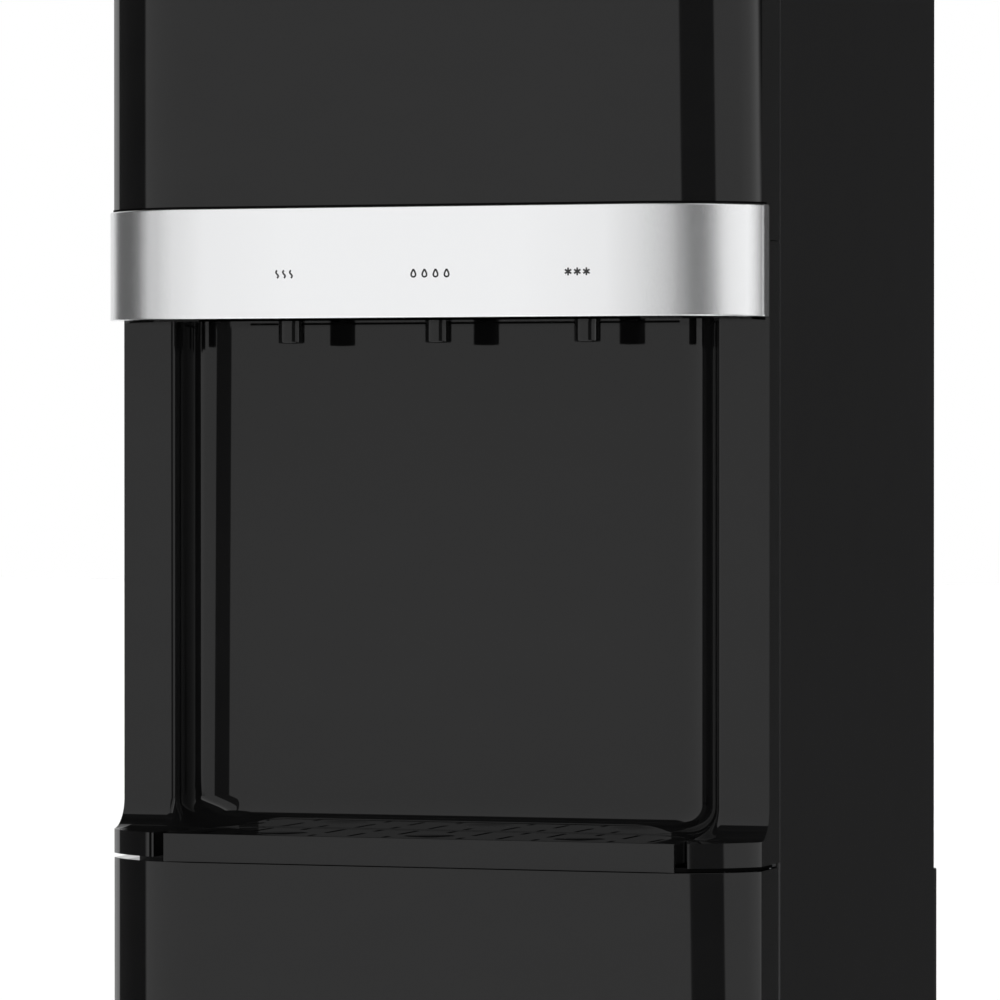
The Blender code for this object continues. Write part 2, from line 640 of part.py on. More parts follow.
def build_water_line(mats):
    """Pump, probe, hoses and one valve over each nozzle."""
    box("water_pump", (-0.135, -0.075), (0.110, 0.170), (DECK_TOP + GAP, 0.612), mats["white"], bevel=0.004)
    probe_x, probe_y = 0.130, 0.312
    turned("bottle_probe", [
        (0.0, 0.520), (0.010, 0.520), (0.016, 0.512), (0.016, 0.480), (0.008, 0.470), (0.008, 0.140),
        (0.004, 0.128), (0.0, 0.128),
    ], (probe_x, probe_y), mats["white"], steps=16)
    hanger = box("probe_hanger", (0.112, 0.148), (0.3245, 0.3375), (0.440, 0.462), mats["white"])
    join(hanger, box("hanger_arm", (0.112, 0.148), (0.300, 0.326), (0.447, 0.455), cutter=True))
    slot_x = (probe_x - 0.0087, probe_x + 0.0087)
    cut(hanger, box("hanger_slot", slot_x, (0.290, probe_y + 0.0090), (0.43, 0.47), cutter=True))
    knots = [(0.130, 0.312, 0.5206), (0.130, 0.312, 0.545), (0.129, 0.300, 0.580), (0.128, 0.220, 0.600),
             (0.110, 0.120, 0.598), (0.020, 0.095, 0.590), (-0.040, 0.118, 0.585), (-0.060, 0.137, 0.585),
             (-0.0744, 0.140, 0.585)]
    tube("suction_hose", smooth_route(knots, 5), 0.004, mats["hose"])
    valve_depth = (NOZZLE_Y - 0.012, NOZZLE_Y + 0.020)
    for index, name in enumerate(FUNCTIONS):
        x = function_x(index)
        valve = box(name + "_valve", (x - 0.012, x + 0.012), valve_depth, (0.8186, 0.856), mats["white"])
        join(valve, drum(name + "_coil", 0.011, (0.850, 0.880), (x, NOZZLE_Y), cutter=True, sides=16))
    ends = {
        "hot": [(-0.071, 0.0551, 0.850), (-0.071, 0.060, 0.850), (-0.070, 0.067, 0.853),
                (-0.050, 0.080, 0.885), (0.020, 0.084, 0.905), (0.075, 0.100, 0.960),
                (0.088, 0.140, 0.995), (0.088, 0.164, 0.982), (0.088, 0.165, 0.9610)],
        "normal": [(0.0, 0.0551, 0.850), (0.0, 0.060, 0.850), (0.0, 0.067, 0.852), (-0.012, 0.100, 0.862),
                   (-0.025, 0.115, 0.900), (-0.045, 0.122, 0.960), (-0.055, 0.128, 1.010),
                   (-0.060, 0.165, 1.023), (-0.060, 0.212, 1.020), (-0.060, 0.220, 1.0050)],
        "cold": [(0.071, 0.0551, 0.850), (0.071, 0.066, 0.850), (0.060, 0.088, 0.843),
                 (0.036, 0.119, 0.835), (0.020, 0.1367, 0.835), (-0.0033, 0.1625, 0.835)],
    }
    for name, knots in ends.items():
        tube(name + "_pipe", smooth_route(knots, 5), 0.0035, mats["hose"], sides_level=1)


def build_electrics(mats):
    box("control_board", (0.1480, 0.1500), (0.150, 0.260), (0.620, 0.720), mats["board"])
    on_back = (CABINET_BACK + GAP, CABINET_BACK + 0.0025)
    bezel = box("switch_bezel", (0.0700, 0.1200), on_back, (0.918, 0.942), mats["satin"])
    for name, x, colour in (("hot", 0.084, "red"), ("cold", 0.106, "blue")):
        width = (x - 0.0085, x + 0.0085)
        cut(bezel, box(name + "_switch_hole", width, (0.33, 0.35), (0.9225, 0.9375), cutter=True))
        half = 0.0065
        z, y = 0.930, CABINET_BACK + 0.001
        # the rocker's side outline: a shallow V, thick in the middle
        outline = [
            (-half, -0.001), (0, -0.003), (half, -0.001), (half, 0.0035), (0, 0.0022), (-half, 0.0015),
        ]
        rocker = prism(name + "_switch", outline, (-0.0075, 0.0075), mats[colour])
        rocker.rotation_mode = "ZYX"
        rocker.rotation_euler = (math.radians(-ROCKER_TILT), math.radians(-90), 0)
        rocker.location = (x, at(y), z)
    centre = (-0.050, 0.600)
    gland = rod("cable_gland", 0.0068, (CABINET_BACK - 0.006, CABINET_BACK + 0.009), centre, mats["satin"])
    join(gland, rod("gland_head", 0.0095, (CABINET_BACK + GAP, CABINET_BACK + 0.006), centre, cutter=True))
    cut(gland, rod("gland_bore", 0.0040, (0.32, 0.36), centre, cutter=True))


def build_drain(mats):
    """The cold tank's drain: a spout through the back, closed by a pull-off cap."""
    centre = (0.105, 0.600)
    spout = rod("drain_spout", 0.0078, (CABINET_BACK - 0.020, CABINET_BACK + 0.007), centre, mats["white"])
    cut(spout, rod("drain_bore", 0.0050, (0.30, 0.37), centre, cutter=True))
    depth = (CABINET_BACK + GAP, CABINET_BACK + 0.012)
    cap = rod("drain_cap", 0.0110, depth, centre, mats["satin"], bevel=0.0008)
    cut(cap, rod("cap_space", 0.0082, (0.33, CABINET_BACK + 0.0075), centre, cutter=True))


def main():
    for piece in list(bpy.data.objects):
        bpy.data.objects.remove(piece)
    for name in ("water_dispenser", "cutters"):
        bpy.context.scene.collection.children.link(bpy.data.collections.new(name))
    mats = make_materials()
    build_upper_panel(mats)
    build_band(mats)
    build_alcove(mats)
    build_tray(mats)
    build_nozzles(mats)
    build_buttons(mats)
    build_door(mats)
    build_hinges(mats)
    build_cabinet(mats)
    build_tanks(mats)
    build_compressor(mats)
    build_cooling_line(mats)
    build_water_line(mats)
    build_electrics(mats)
    build_drain(mats)


main()
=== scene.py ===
"""Looks of the floor-standing water dispenser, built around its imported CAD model.

Metres, +Z up, +X to the right of someone facing the front, +Y towards the back.
Depths called y in the plan helpers are measured back from the flat front plane.
"""

import json
import math

import bmesh
import bpy
from mathutils import Matrix, Vector


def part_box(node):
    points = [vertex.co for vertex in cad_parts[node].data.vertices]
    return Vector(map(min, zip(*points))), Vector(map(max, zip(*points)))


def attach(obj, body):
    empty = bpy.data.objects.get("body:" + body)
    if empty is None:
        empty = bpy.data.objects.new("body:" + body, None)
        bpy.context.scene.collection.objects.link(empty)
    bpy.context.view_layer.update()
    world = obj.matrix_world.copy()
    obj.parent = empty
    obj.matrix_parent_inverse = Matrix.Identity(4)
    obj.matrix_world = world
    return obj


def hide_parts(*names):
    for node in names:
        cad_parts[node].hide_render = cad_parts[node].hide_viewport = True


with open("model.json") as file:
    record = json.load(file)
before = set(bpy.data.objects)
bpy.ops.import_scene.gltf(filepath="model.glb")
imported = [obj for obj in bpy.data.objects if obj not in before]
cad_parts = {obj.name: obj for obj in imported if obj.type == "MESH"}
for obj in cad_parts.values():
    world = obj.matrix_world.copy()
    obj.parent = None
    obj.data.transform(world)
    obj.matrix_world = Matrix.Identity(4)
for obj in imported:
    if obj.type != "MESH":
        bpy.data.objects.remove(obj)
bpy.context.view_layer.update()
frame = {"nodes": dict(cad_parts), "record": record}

X, Y, Z = 0, 1, 2

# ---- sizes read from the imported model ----
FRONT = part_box("upper_front_panel")[0][Y]
HALF_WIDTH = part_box("upper_front_panel")[1][X]
CABINET_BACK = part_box("left_side_panel")[1][Y] - FRONT
STRIP_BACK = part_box("upper_front_panel")[1][Y] - FRONT
BAND_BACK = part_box("silver_band")[1][Y] - FRONT
BAND_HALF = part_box("silver_band")[1][X]
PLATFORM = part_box("drip_tray")[1][Z]
GRILLE_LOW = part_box("drip_grille")[0][Z]
TRAY_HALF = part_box("drip_tray")[1][X]
TRAY_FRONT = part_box("drip_tray")[0][Y] - FRONT
TRAY_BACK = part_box("drip_tray")[1][Y] - FRONT
REAR_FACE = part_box("switch_bezel")[0][Y] - 0.0003
CONDENSER_RADIUS = 0.0026
CONDENSER_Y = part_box("condenser")[1][Y] - CONDENSER_RADIUS

# ---- sizes and places, most of them the CAD model's own ----
WALL = 0.003
SHEET = 0.001
CUT = 0.010
CORNER_RADIUS = 0.061
CORNER_X = 0.105
CORNER_STEPS = 40
CEILING = 0.806
REBATE = 0.005  # how far the moulding stands back just under the band
JAMB_Y = 0.0385
WALL_Y = 0.069
ALCOVE_WALL = 0.1299
MOUTH_ROUND = 0.0031
ALCOVE_CORNER = 0.027
COVE = 0.014
TRAY_CORNER = 0.036
END_CAP_X = 0.127
CAP_GROOVE = (-0.1295, -0.1281)  # a thin upright line on the lip's left end
SLOT_PITCH = 0.01775
SLOT_WIDTH = 0.0025
ODD_SLOTS = ((0.0085, 0.018), (0.031, 0.0575))
EVEN_SLOTS = ((0.012, 0.0345), (0.0475, 0.0595))
GAP_BACK = 0.020
RIM_INSET = 0.0026
DISH_RADIUS = 0.0125
DISH_DEPTH = 0.0007
DISH_Y = 0.0225
NOZZLE_PITCH = 0.071
NOZZLE_Y = 0.0345
NOZZLE_RADIUS = 0.006
BUTTON_Z = 0.990
BUTTON_RADIUS = 0.0115
FUNCTIONS = ("hot", "normal", "cold")
BAND_PROUD = 0.0017
GRIP_Z = (0.36, 0.46)
SWITCH_X = {"hot": 0.084, "cold": 0.106}
SWITCH_Z = 0.930
GLAND_X = -0.050
DRAIN_X = 0.105
PORT_Z = 0.600


# ---- node helpers ----
class Nodes:
    """A material's or world's node tree, with short calls for the nodes used here."""

    def __init__(self, owner):
        owner.use_nodes = True
        self.owner = owner
        self.tree = owner.node_tree

    def add(self, kind, **settings):
        node = self.tree.nodes.new(kind)
        for name, value in settings.items():
            setattr(node, name, value)
        return node

    def link(self, source, target):
        self.tree.links.new(source, target)

    def coordinates(self, scale=(1.0, 1.0, 1.0)):
        """Object coordinates in metres, stretched along each axis."""
        source = self.add("ShaderNodeTexCoord").outputs["Object"]
        mapping = self.add("ShaderNodeMapping")
        mapping.inputs["Scale"].default_value = scale
        self.link(source, mapping.inputs["Vector"])
        return mapping.outputs["Vector"]

    def noise(self, scale, detail=2.0, stretch=(1.0, 1.0, 1.0)):
        noise = self.add("ShaderNodeTexNoise")
        noise.inputs["Scale"].default_value = scale
        noise.inputs["Detail"].default_value = detail
        self.link(self.coordinates(stretch), noise.inputs["Vector"])
        return noise.outputs["Fac"]

    def cells(self, scale, output):
        cells = self.add("ShaderNodeTexVoronoi")
        cells.inputs["Scale"].default_value = scale
        self.link(self.coordinates(), cells.inputs["Vector"])
        return cells.outputs[output]

    def fit(self, value, low, high, source=(0.0, 1.0)):
        """Moves a value from its source range to low..high."""
        fit = self.add("ShaderNodeMapRange")
        fit.inputs["From Min"].default_value = source[0]
        fit.inputs["From Max"].default_value = source[1]
        fit.inputs["To Min"].default_value = low
        fit.inputs["To Max"].default_value = high
        self.link(value, fit.inputs["Value"])
        return fit.outputs["Result"]

    def blend(self, factor, first, second):
        """A colour between two colours."""
        mix = self.add("ShaderNodeMix", data_type="RGBA")
        mix.inputs["A"].default_value = (*first, 1.0)
        mix.inputs["B"].default_value = (*second, 1.0)
        self.link(factor, mix.inputs["Factor"])
        return mix.outputs["Result"]

    def put(self, value, socket):
        """Sets a number on a socket, or links an output to it."""
        if isinstance(value, (int, float)):
            socket.default_value = value
        else:
            self.link(value, socket)

    def maths(self, operation, first, second):
        node = self.add("ShaderNodeMath", operation=operation)
        self.put(first, node.inputs[0])
        self.put(second, node.inputs[1])
        return node.outputs["Value"]

    def ramp(self, factor, stops):
        """Grey levels along a ramp, from (position, level) pairs."""
        node = self.add("ShaderNodeValToRGB")
        elements = node.color_ramp.elements
        elements[0].position = stops[0][0]
        elements[1].position = stops[-1][0]
        for position, _ in stops[1:-1]:
            elements.new(position)
        for element, (_, level) in zip(elements, stops):
            element.color = (level, level, level, 1.0)
        self.link(factor, node.inputs["Fac"])
        return node.outputs["Color"]

    def bump(self, height, distance):
        bump = self.add("ShaderNodeBump")
        bump.inputs["Strength"].default_value = 1.0
        bump.inputs["Distance"].default_value = distance
        self.link(height, bump.inputs["Height"])
        return bump.outputs["Normal"]

    def feed(self, colour, roughness, normal=None):
        """Gives the shader its colour, roughness and normal, and returns the finished material."""
        sockets = self.tree.nodes["Principled BSDF"].inputs
        self.put(colour, sockets["Base Color"])
        self.put(roughness, sockets["Roughness"])
        if normal is not None:
            self.put(normal, sockets["Normal"])
        return self.owner


def surface(name, metallic=0.0, specular=0.5, transmission=0.0):
    """The nodes of a new material."""
    nodes = Nodes(bpy.data.materials.new("look_" + name))
    sockets = nodes.tree.nodes["Principled BSDF"].inputs
    sockets["Metallic"].default_value = metallic
    sockets["Specular IOR Level"].default_value = specular
    sockets["Transmission Weight"].default_value = transmission
    return nodes


# ---- materials ----
def gloss_black():
    """Injection-moulded gloss: a faint waviness, and a haze of fine wipe marks."""
    nodes = surface("gloss_black", specular=0.36)
    haze = nodes.noise(22.0, 5.0, (1.0, 1.0, 2.5))
    return nodes.feed(
        nodes.blend(haze, (0.0026, 0.0026, 0.0027), (0.0044, 0.0044, 0.0045)),
        nodes.fit(haze, 0.022, 0.055, (0.35, 0.70)),
        nodes.bump(nodes.noise(38.0, 1.0), 0.000012),
    )


def satin_black():
    """Spark-eroded mould texture."""
    nodes = surface("satin_black")
    grain = nodes.noise(1500.0, 3.0)
    return nodes.feed(
        nodes.blend(grain, (0.0075, 0.0075, 0.0080), (0.0135, 0.0135, 0.0142)),
        nodes.fit(nodes.noise(60.0, 4.0), 0.36, 0.50),
        nodes.bump(grain, 0.00005),
    )


# Painted shade on the band along X: the paint is darkest where each bend starts and near the right end, to
# darken the band's reflection there.
BAND_PAINTED_SHADE = (
    (-0.137, 1.0), (-0.131, 0.66), (-0.124, 0.66), (-0.116, 0.82), (-0.100, 0.95), (-0.060, 1.0),
    (0.050, 1.0), (0.090, 0.94), (0.105, 0.80), (0.116, 0.66), (0.124, 0.56), (0.130, 0.74), (0.136, 1.0),
    (0.148, 0.96), (0.151, 0.92), (0.154, 0.58), (0.1554, 0.38), (0.1562, 0.34), (0.1566, 1.0),
)


def silver_paint():
    """Metallic paint with tiny flakes, darkened along X near the bends and the right end: painted shade."""
    nodes = surface("silver_paint", metallic=0.96)
    flake = nodes.noise(3200.0, 1.0)
    across = nodes.add("ShaderNodeSeparateXYZ")
    nodes.link(nodes.coordinates(), across.inputs["Vector"])
    place = nodes.fit(across.outputs["X"], 0.0, 1.0, (-BAND_HALF, BAND_HALF))
    # The ramp is painted shade: it darkens the paint near the bends and the right end.
    depth = nodes.ramp(place, [((x + BAND_HALF) / (2 * BAND_HALF), level) for x, level in BAND_PAINTED_SHADE])
    sparkle_and_shade = nodes.maths("MULTIPLY", nodes.fit(flake, 0.86, 0.99, (0.3, 0.7)), depth)
    return nodes.feed(
        nodes.blend(sparkle_and_shade, (0.0, 0.0, 0.0), (0.985, 0.99, 1.0)),
        nodes.fit(flake, 0.20, 0.28),
        nodes.bump(flake, 0.000012),
    )


def dark_steel():
    """Powder-coated sheet: fine orange peel over a slow change of sheen."""
    nodes = surface("dark_steel")
    cloud = nodes.noise(9.0, 3.0)
    return nodes.feed(
        nodes.blend(cloud, (0.0080, 0.0080, 0.0084), (0.0112, 0.0112, 0.0117)),
        nodes.fit(cloud, 0.34, 0.46),
        nodes.bump(nodes.noise(900.0, 2.0), 0.00004),
    )


def zinc_steel():
    """Bright zinc plate with a soft spangle and rolling marks."""
    nodes = surface("zinc_steel", metallic=1.0)
    spangle = nodes.add("ShaderNodeSeparateColor")
    nodes.link(nodes.cells(70.0, "Color"), spangle.inputs["Color"])
    return nodes.feed(
        nodes.blend(spangle.outputs["Red"], (0.44, 0.46, 0.48), (0.56, 0.57, 0.58)),
        nodes.fit(spangle.outputs["Green"], 0.34, 0.50),
        nodes.bump(nodes.noise(500.0, 2.0, (1.0, 0.08, 1.0)), 0.00002),
    )


def stainless():
    """Stainless steel, brushed round the tanks."""
    nodes = surface("stainless", metallic=1.0)
    brushed = nodes.noise(260.0, 4.0, (0.15, 0.15, 9.0))
    return nodes.feed(
        nodes.blend(brushed, (0.50, 0.50, 0.51), (0.68, 0.68, 0.69)),
        nodes.fit(brushed, 0.20, 0.36),
        nodes.bump(brushed, 0.00002),
    )


def black_rubber():
    """Moulded rubber with a pale bloom."""
    nodes = surface("black_rubber", specular=0.2)
    bloom = nodes.noise(120.0, 6.0)
    return nodes.feed(
        nodes.blend(bloom, (0.004, 0.004, 0.004), (0.009, 0.009, 0.009)),
        nodes.fit(bloom, 0.68, 0.88),
        nodes.bump(nodes.noise(1100.0, 3.0), 0.00006),
    )


def painted_shade():
    """Painted shade: a flock-grained black with no shine, put in the thin gaps between mouldings to stand for
    the shade in them.
    """
    nodes = surface("painted_shade", specular=0.0)
    fibre = nodes.noise(1800.0, 4.0)
    return nodes.feed(
        nodes.blend(fibre, (0.0015, 0.0015, 0.0015), (0.0045, 0.0045, 0.0045)),
        nodes.fit(fibre, 0.90, 1.0),
        nodes.bump(fibre, 0.0001),
    )


def white_foam():
    """Expanded bead foam: rounded cells pressed together."""
    nodes = surface("white_foam", specular=0.3)
    bead = nodes.cells(260.0, "Distance")
    # Darker towards each bead's edge: painted shade in the creases where the beads meet.
    return nodes.feed(
        nodes.blend(bead, (0.86, 0.86, 0.84), (0.70, 0.70, 0.67)),
        nodes.fit(bead, 0.72, 0.92),
        nodes.bump(nodes.fit(bead, 1.0, 0.0), 0.0006),
    )


def plastic(name, dark, light, roughness, grain_scale, grain_depth):
    """A moulded plastic with its own colour, sheen and grain."""
    nodes = surface(name)
    cloud = nodes.noise(45.0, 4.0)
    return nodes.feed(
        nodes.blend(cloud, dark, light),
        nodes.fit(cloud, roughness - 0.05, roughness + 0.06),
        nodes.bump(nodes.noise(grain_scale, 3.0), grain_depth),
    )


def silicone_hose():
    """Cloudy hose that lets some light through."""
    nodes = surface("silicone_hose", transmission=0.35)
    cloud = nodes.noise(90.0, 3.0)
    return nodes.feed(
        nodes.blend(cloud, (0.70, 0.73, 0.74), (0.82, 0.84, 0.84)),
        nodes.fit(cloud, 0.30, 0.44),
    )


def green_board():
    """Solder mask over copper tracks, which stand a little proud."""
    nodes = surface("green_board")
    track = nodes.add("ShaderNodeTexBrick")
    track.inputs["Scale"].default_value = 60.0
    track.inputs["Mortar Size"].default_value = 0.012
    nodes.link(nodes.coordinates(), track.inputs["Vector"])
    return nodes.feed(
        nodes.blend(track.outputs["Fac"], (0.012, 0.085, 0.030), (0.035, 0.190, 0.070)),
        nodes.fit(nodes.noise(80.0, 3.0), 0.28, 0.42),
        nodes.bump(track.outputs["Fac"], 0.00004),
    )


def black_enamel():
    """Glossy stove enamel with a fine orange peel."""
    nodes = surface("black_enamel")
    peel = nodes.noise(420.0, 2.0)
    return nodes.feed(
        nodes.blend(nodes.noise(30.0), (0.006, 0.006, 0.006), (0.011, 0.011, 0.011)),
        nodes.fit(peel, 0.24, 0.36),
        nodes.bump(peel, 0.00003),
    )


PLASTICS = {
    "white_plastic": ((0.70, 0.70, 0.67), (0.79, 0.79, 0.77), 0.42, 900.0, 0.00003),
    "red_plastic": ((0.46, 0.014, 0.014), (0.60, 0.026, 0.024), 0.30, 700.0, 0.00001),
    "blue_plastic": ((0.016, 0.080, 0.43), (0.026, 0.120, 0.56), 0.30, 700.0, 0.00001),
    "ink": ((0.006, 0.006, 0.006), (0.012, 0.012, 0.012), 0.50, 1500.0, 0.00001),
    "pale_ink": ((0.50, 0.51, 0.52), (0.60, 0.61, 0.62), 0.50, 1500.0, 0.00001),
}
LOOKS = {name: plastic(name, *values) for name, values in PLASTICS.items()}
for look in (
    gloss_black, satin_black, silver_paint, dark_steel, zinc_steel, stainless, black_rubber, painted_shade,
    white_foam, silicone_hose, green_board, black_enamel,
):
    LOOKS[look.__name__] = look()


# ---- mesh helpers ----
FACING_FRONT = Matrix.Rotation(math.radians(90), 4, "X")
FACING_BACK = Matrix.Rotation(math.radians(-90), 4, "X")


def at(y):
    """The frame's Y of a depth behind the flat front plane."""
    return FRONT + y


def link_object(name, mesh):
    piece = bpy.data.objects.new(name, mesh)
    bpy.context.scene.collection.objects.link(piece)
    return piece


def from_faces(name, verts, faces):
    shape = bmesh.new()
    made = [shape.verts.new(v) for v in verts]
    for face in faces:
        shape.faces.new([made[i] for i in face])
    bmesh.ops.recalc_face_normals(shape, faces=shape.faces)
    mesh = bpy.data.meshes.new(name)
    shape.to_mesh(mesh)
    shape.free()
    return link_object(name, mesh)


def loft(name, sections):
    """A closed solid through level outlines of equal length, given bottom to top as (outline, z)."""
    count = len(sections[0][0])
    verts = [(x, y, z) for outline, z in sections for x, y in outline]
    faces = [list(range(count))[::-1], [count * (len(sections) - 1) + i for i in range(count)]]
    for row in range(len(sections) - 1):
        low, high = row * count, (row + 1) * count
        for i in range(count):
            j = (i + 1) % count
            faces.append((low + i, low + j, high + j, high + i))
    return from_faces(name, verts, faces)


def prism(name, outline, z):
    return loft(name, [(outline, z[0]), (outline, z[1])])


def shell(name, outer, inner, z):
    """A wall between two plan lines of equal length, made of clean quads."""
    count = len(outer)
    ring = outer + inner
    verts = [(x, y, height) for height in z for x, y in ring]
    top = 2 * count
    faces = [(0, count, top + count, top), (count - 1, top + count - 1, top + 2 * count - 1, 2 * count - 1)]
    for i in range(count - 1):
        faces += [
            (i, i + 1, top + i + 1, top + i),
            (count + i, top + count + i, top + count + i + 1, count + i + 1),
            (i, count + i, count + i + 1, i + 1),
            (top + i, top + i + 1, top + count + i + 1, top + count + i),
        ]
    return from_faces(name, verts, faces)


def block(name, x, y, z):
    """A box from its X, depth and Z ranges."""
    return prism(name, [(x[0], at(y[0])), (x[1], at(y[0])), (x[1], at(y[1])), (x[0], at(y[1]))], z)


def box_of(node, name):
    """A box that fills a CAD node's bounds."""
    low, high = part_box(node)
    return block(name, (low[X], high[X]), (low[Y] - FRONT, high[Y] - FRONT), (low[Z], high[Z]))


def turned(name, profile, sides=64, turn=None, place=(0.0, 0.0, 0.0)):
    """A closed shape turned about the Z axis from (radius, z) points, then turned and moved."""
    verts = []
    for radius, z in profile:
        for side in range(sides):
            angle = 2 * math.pi * side / sides
            verts.append((radius * math.cos(angle), radius * math.sin(angle), z))
    faces = []
    for row in range(len(profile) - 1):
        low, high = row * sides, (row + 1) * sides
        for i in range(sides):
            j = (i + 1) % sides
            faces.append((low + i, low + j, high + j, high + i))
    if profile[0] == profile[-1]:
        last = (len(profile) - 1) * sides
        faces = [[i - last if i >= last else i for i in face] for face in faces]
        verts = verts[:last]
    else:
        faces.append(list(range(sides))[::-1])
        faces.append([(len(profile) - 1) * sides + i for i in range(sides)])
    piece = from_faces(name, verts, faces)
    matrix = Matrix.Translation(place)
    if turn is not None:
        matrix = matrix @ turn
    piece.data.transform(matrix)
    return piece


def finished_mesh(piece):
    """A piece's mesh with its modifiers or its curve's bevel worked out."""
    bpy.context.view_layer.update()
    return bpy.data.meshes.new_from_object(piece.evaluated_get(bpy.context.evaluated_depsgraph_get()))


def tube(name, points, radius, sides):
    """A round bar along points given as (x, y, z), with smooth bends and closed ends."""
    curve = bpy.data.curves.new(name, "CURVE")
    curve.dimensions = "3D"
    curve.bevel_depth = radius
    curve.bevel_resolution = sides // 4
    curve.use_fill_caps = True
    spline = curve.splines.new("POLY")
    spline.points.add(len(points) - 1)
    for point, place in zip(spline.points, points):
        point.co = (*place, 1)
    guide = link_object(name + "_guide", curve)
    mesh = finished_mesh(guide)
    bpy.data.objects.remove(guide)
    mesh.materials.clear()
    return link_object(name, mesh)


def apply_modifiers(piece):
    mesh = finished_mesh(piece)
    piece.modifiers.clear()
    piece.data = mesh


def combine(piece, operation, others):
    for other in others:
        boolean = piece.modifiers.new(other.name, "BOOLEAN")
        boolean.operation = operation
        boolean.solver = "EXACT"
        boolean.object = other
    apply_modifiers(piece)
    for other in others:
        bpy.data.objects.remove(other)


def cut(piece, *cutters):
    combine(piece, "DIFFERENCE", cutters)


def join(piece, *others):
    combine(piece, "UNION", others)


def merge(name, parts):
    """Several separate solids as one piece."""
    shape = bmesh.new()
    for part in parts:
        shape.from_mesh(part.data)
        bpy.data.objects.remove(part)
    mesh = bpy.data.meshes.new(name)
    shape.to_mesh(mesh)
    shape.free()
    return link_object(name, mesh)


def edge_round(piece, width, segments=3, angle=30.0):
    bevel = piece.modifiers.new("edges", "BEVEL")
    bevel.width = width
    bevel.segments = segments
    bevel.limit_method = "ANGLE"
    bevel.angle_limit = math.radians(angle)
    bevel.miter_outer = "MITER_ARC"


def smooth(piece, angle=30.0):
    """Smooth shading that keeps the flat faces flat."""
    piece.data.shade_smooth()
    piece.data.set_sharp_from_angle(angle=math.radians(angle))
    weighted = piece.modifiers.new("normals", "WEIGHTED_NORMAL")
    weighted.keep_sharp = True
    weighted.weight = 100


def finish_piece(piece, look, body="cabinet", replaces=(), rounding=0.0, segments=3, angle=30.0):
    """Rounds a piece's edges, gives it its finish, and says what it rides on and what it replaces."""
    if rounding:
        edge_round(piece, rounding, segments, angle)
        apply_modifiers(piece)
    piece.data.materials.clear()
    piece.data.materials.append(LOOKS[look])
    smooth(piece, angle)
    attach(piece, body)
    if replaces:
        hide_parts(*replaces)


def finish_painted_shade(piece):
    """Gives a piece the dead black that stands for the shade in a gap: painted shade. Felt counts as
    rubber, because it has no slot of its own.
    """
    finish_piece(piece, "painted_shade")


# ---- plan outlines ----
def front_corner(side, offset):
    """One front corner, from the flat front to the crisp side edge, moved out by offset."""
    radius = CORNER_RADIUS + offset
    sweep = math.asin((HALF_WIDTH + offset - CORNER_X) / radius)
    angles = [sweep * step / CORNER_STEPS for step in range(CORNER_STEPS + 1)]
    return [
        (side * (CORNER_X + radius * math.sin(angle)), at(CORNER_RADIUS - radius * math.cos(angle)))
        for angle in angles
    ]


def front_edge(offset, back):
    """The front mouldings' open outline, from the left side round the front to the right."""
    half = HALF_WIDTH + offset
    left = front_corner(-1, offset)[::-1]
    return [(-half, at(back)), *left, *front_corner(1, offset), (half, at(back))]


def tray_outline(inset, front, steps=32):
    half = TRAY_HALF - inset
    radius = TRAY_CORNER - inset
    points = [(-half, at(front)), (half, at(front))]
    for start, side in ((0, 1), (90, -1)):
        centre = (side * (TRAY_HALF - TRAY_CORNER), at(TRAY_BACK - TRAY_CORNER))
        for step in range(steps + 1):
            angle = math.radians(start + 90 * step / steps)
            points.append((centre[0] + radius * math.cos(angle), centre[1] + radius * math.sin(angle)))
    return points


def front_strip(name, outside, inside, back, z):
    """A wall that follows the front mouldings, between two offsets from their outline."""
    return shell(name, front_edge(outside, back), front_edge(inside, back), z)


def quarter_round(radius, steps):
    """For points along a rounded edge: how far each is drawn in, and how far short of the end."""
    for step in range(1, steps + 1):
        angle = math.radians(90 * step / steps)
        yield radius * (1 - math.cos(angle)), radius * (1 - math.sin(angle))


def function_x(index):
    return (index - 1) * NOZZLE_PITCH


# ---- front mouldings ----
def make_upper_panel():
    """The rounded panel over the band, with a window for each button."""
    low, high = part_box("upper_front_panel")
    panel = front_strip("upper_panel_gloss", 0, -WALL, STRIP_BACK, (low[Z], high[Z]))
    windows = []
    window = BUTTON_RADIUS + 0.0006
    for index in range(len(FUNCTIONS)):
        place = (function_x(index), at(CUT), BUTTON_Z)
        windows.append(turned(f"window_{index}", [(window, 0.0), (window, 2 * CUT)], 96, FACING_FRONT, place))
    cut(panel, *windows)
    finish_piece(panel, "gloss_black", replaces=["upper_front_panel"], rounding=0.0005)


def make_band():
    """The silver band, and the dead black lines over and under it: painted shade in the gaps there."""
    low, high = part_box("silver_band")
    band = front_strip("band_silver", BAND_PROUD, 0.0003, BAND_BACK, (low[Z], high[Z]))
    finish_piece(band, "silver_paint", replaces=["silver_band"], rounding=0.0008)
    # Dead black lines in the gaps over and under the band: painted shade.
    upper = front_strip("upper_band_painted_shade", 0.0003, -0.0005, BAND_BACK, (high[Z] + 0.0001, high[Z] + 0.0010))
    finish_painted_shade(upper)
    lower = front_strip("lower_band_painted_shade", -REBATE, -REBATE - 0.0006, JAMB_Y, (CEILING, low[Z]))
    finish_painted_shade(lower)


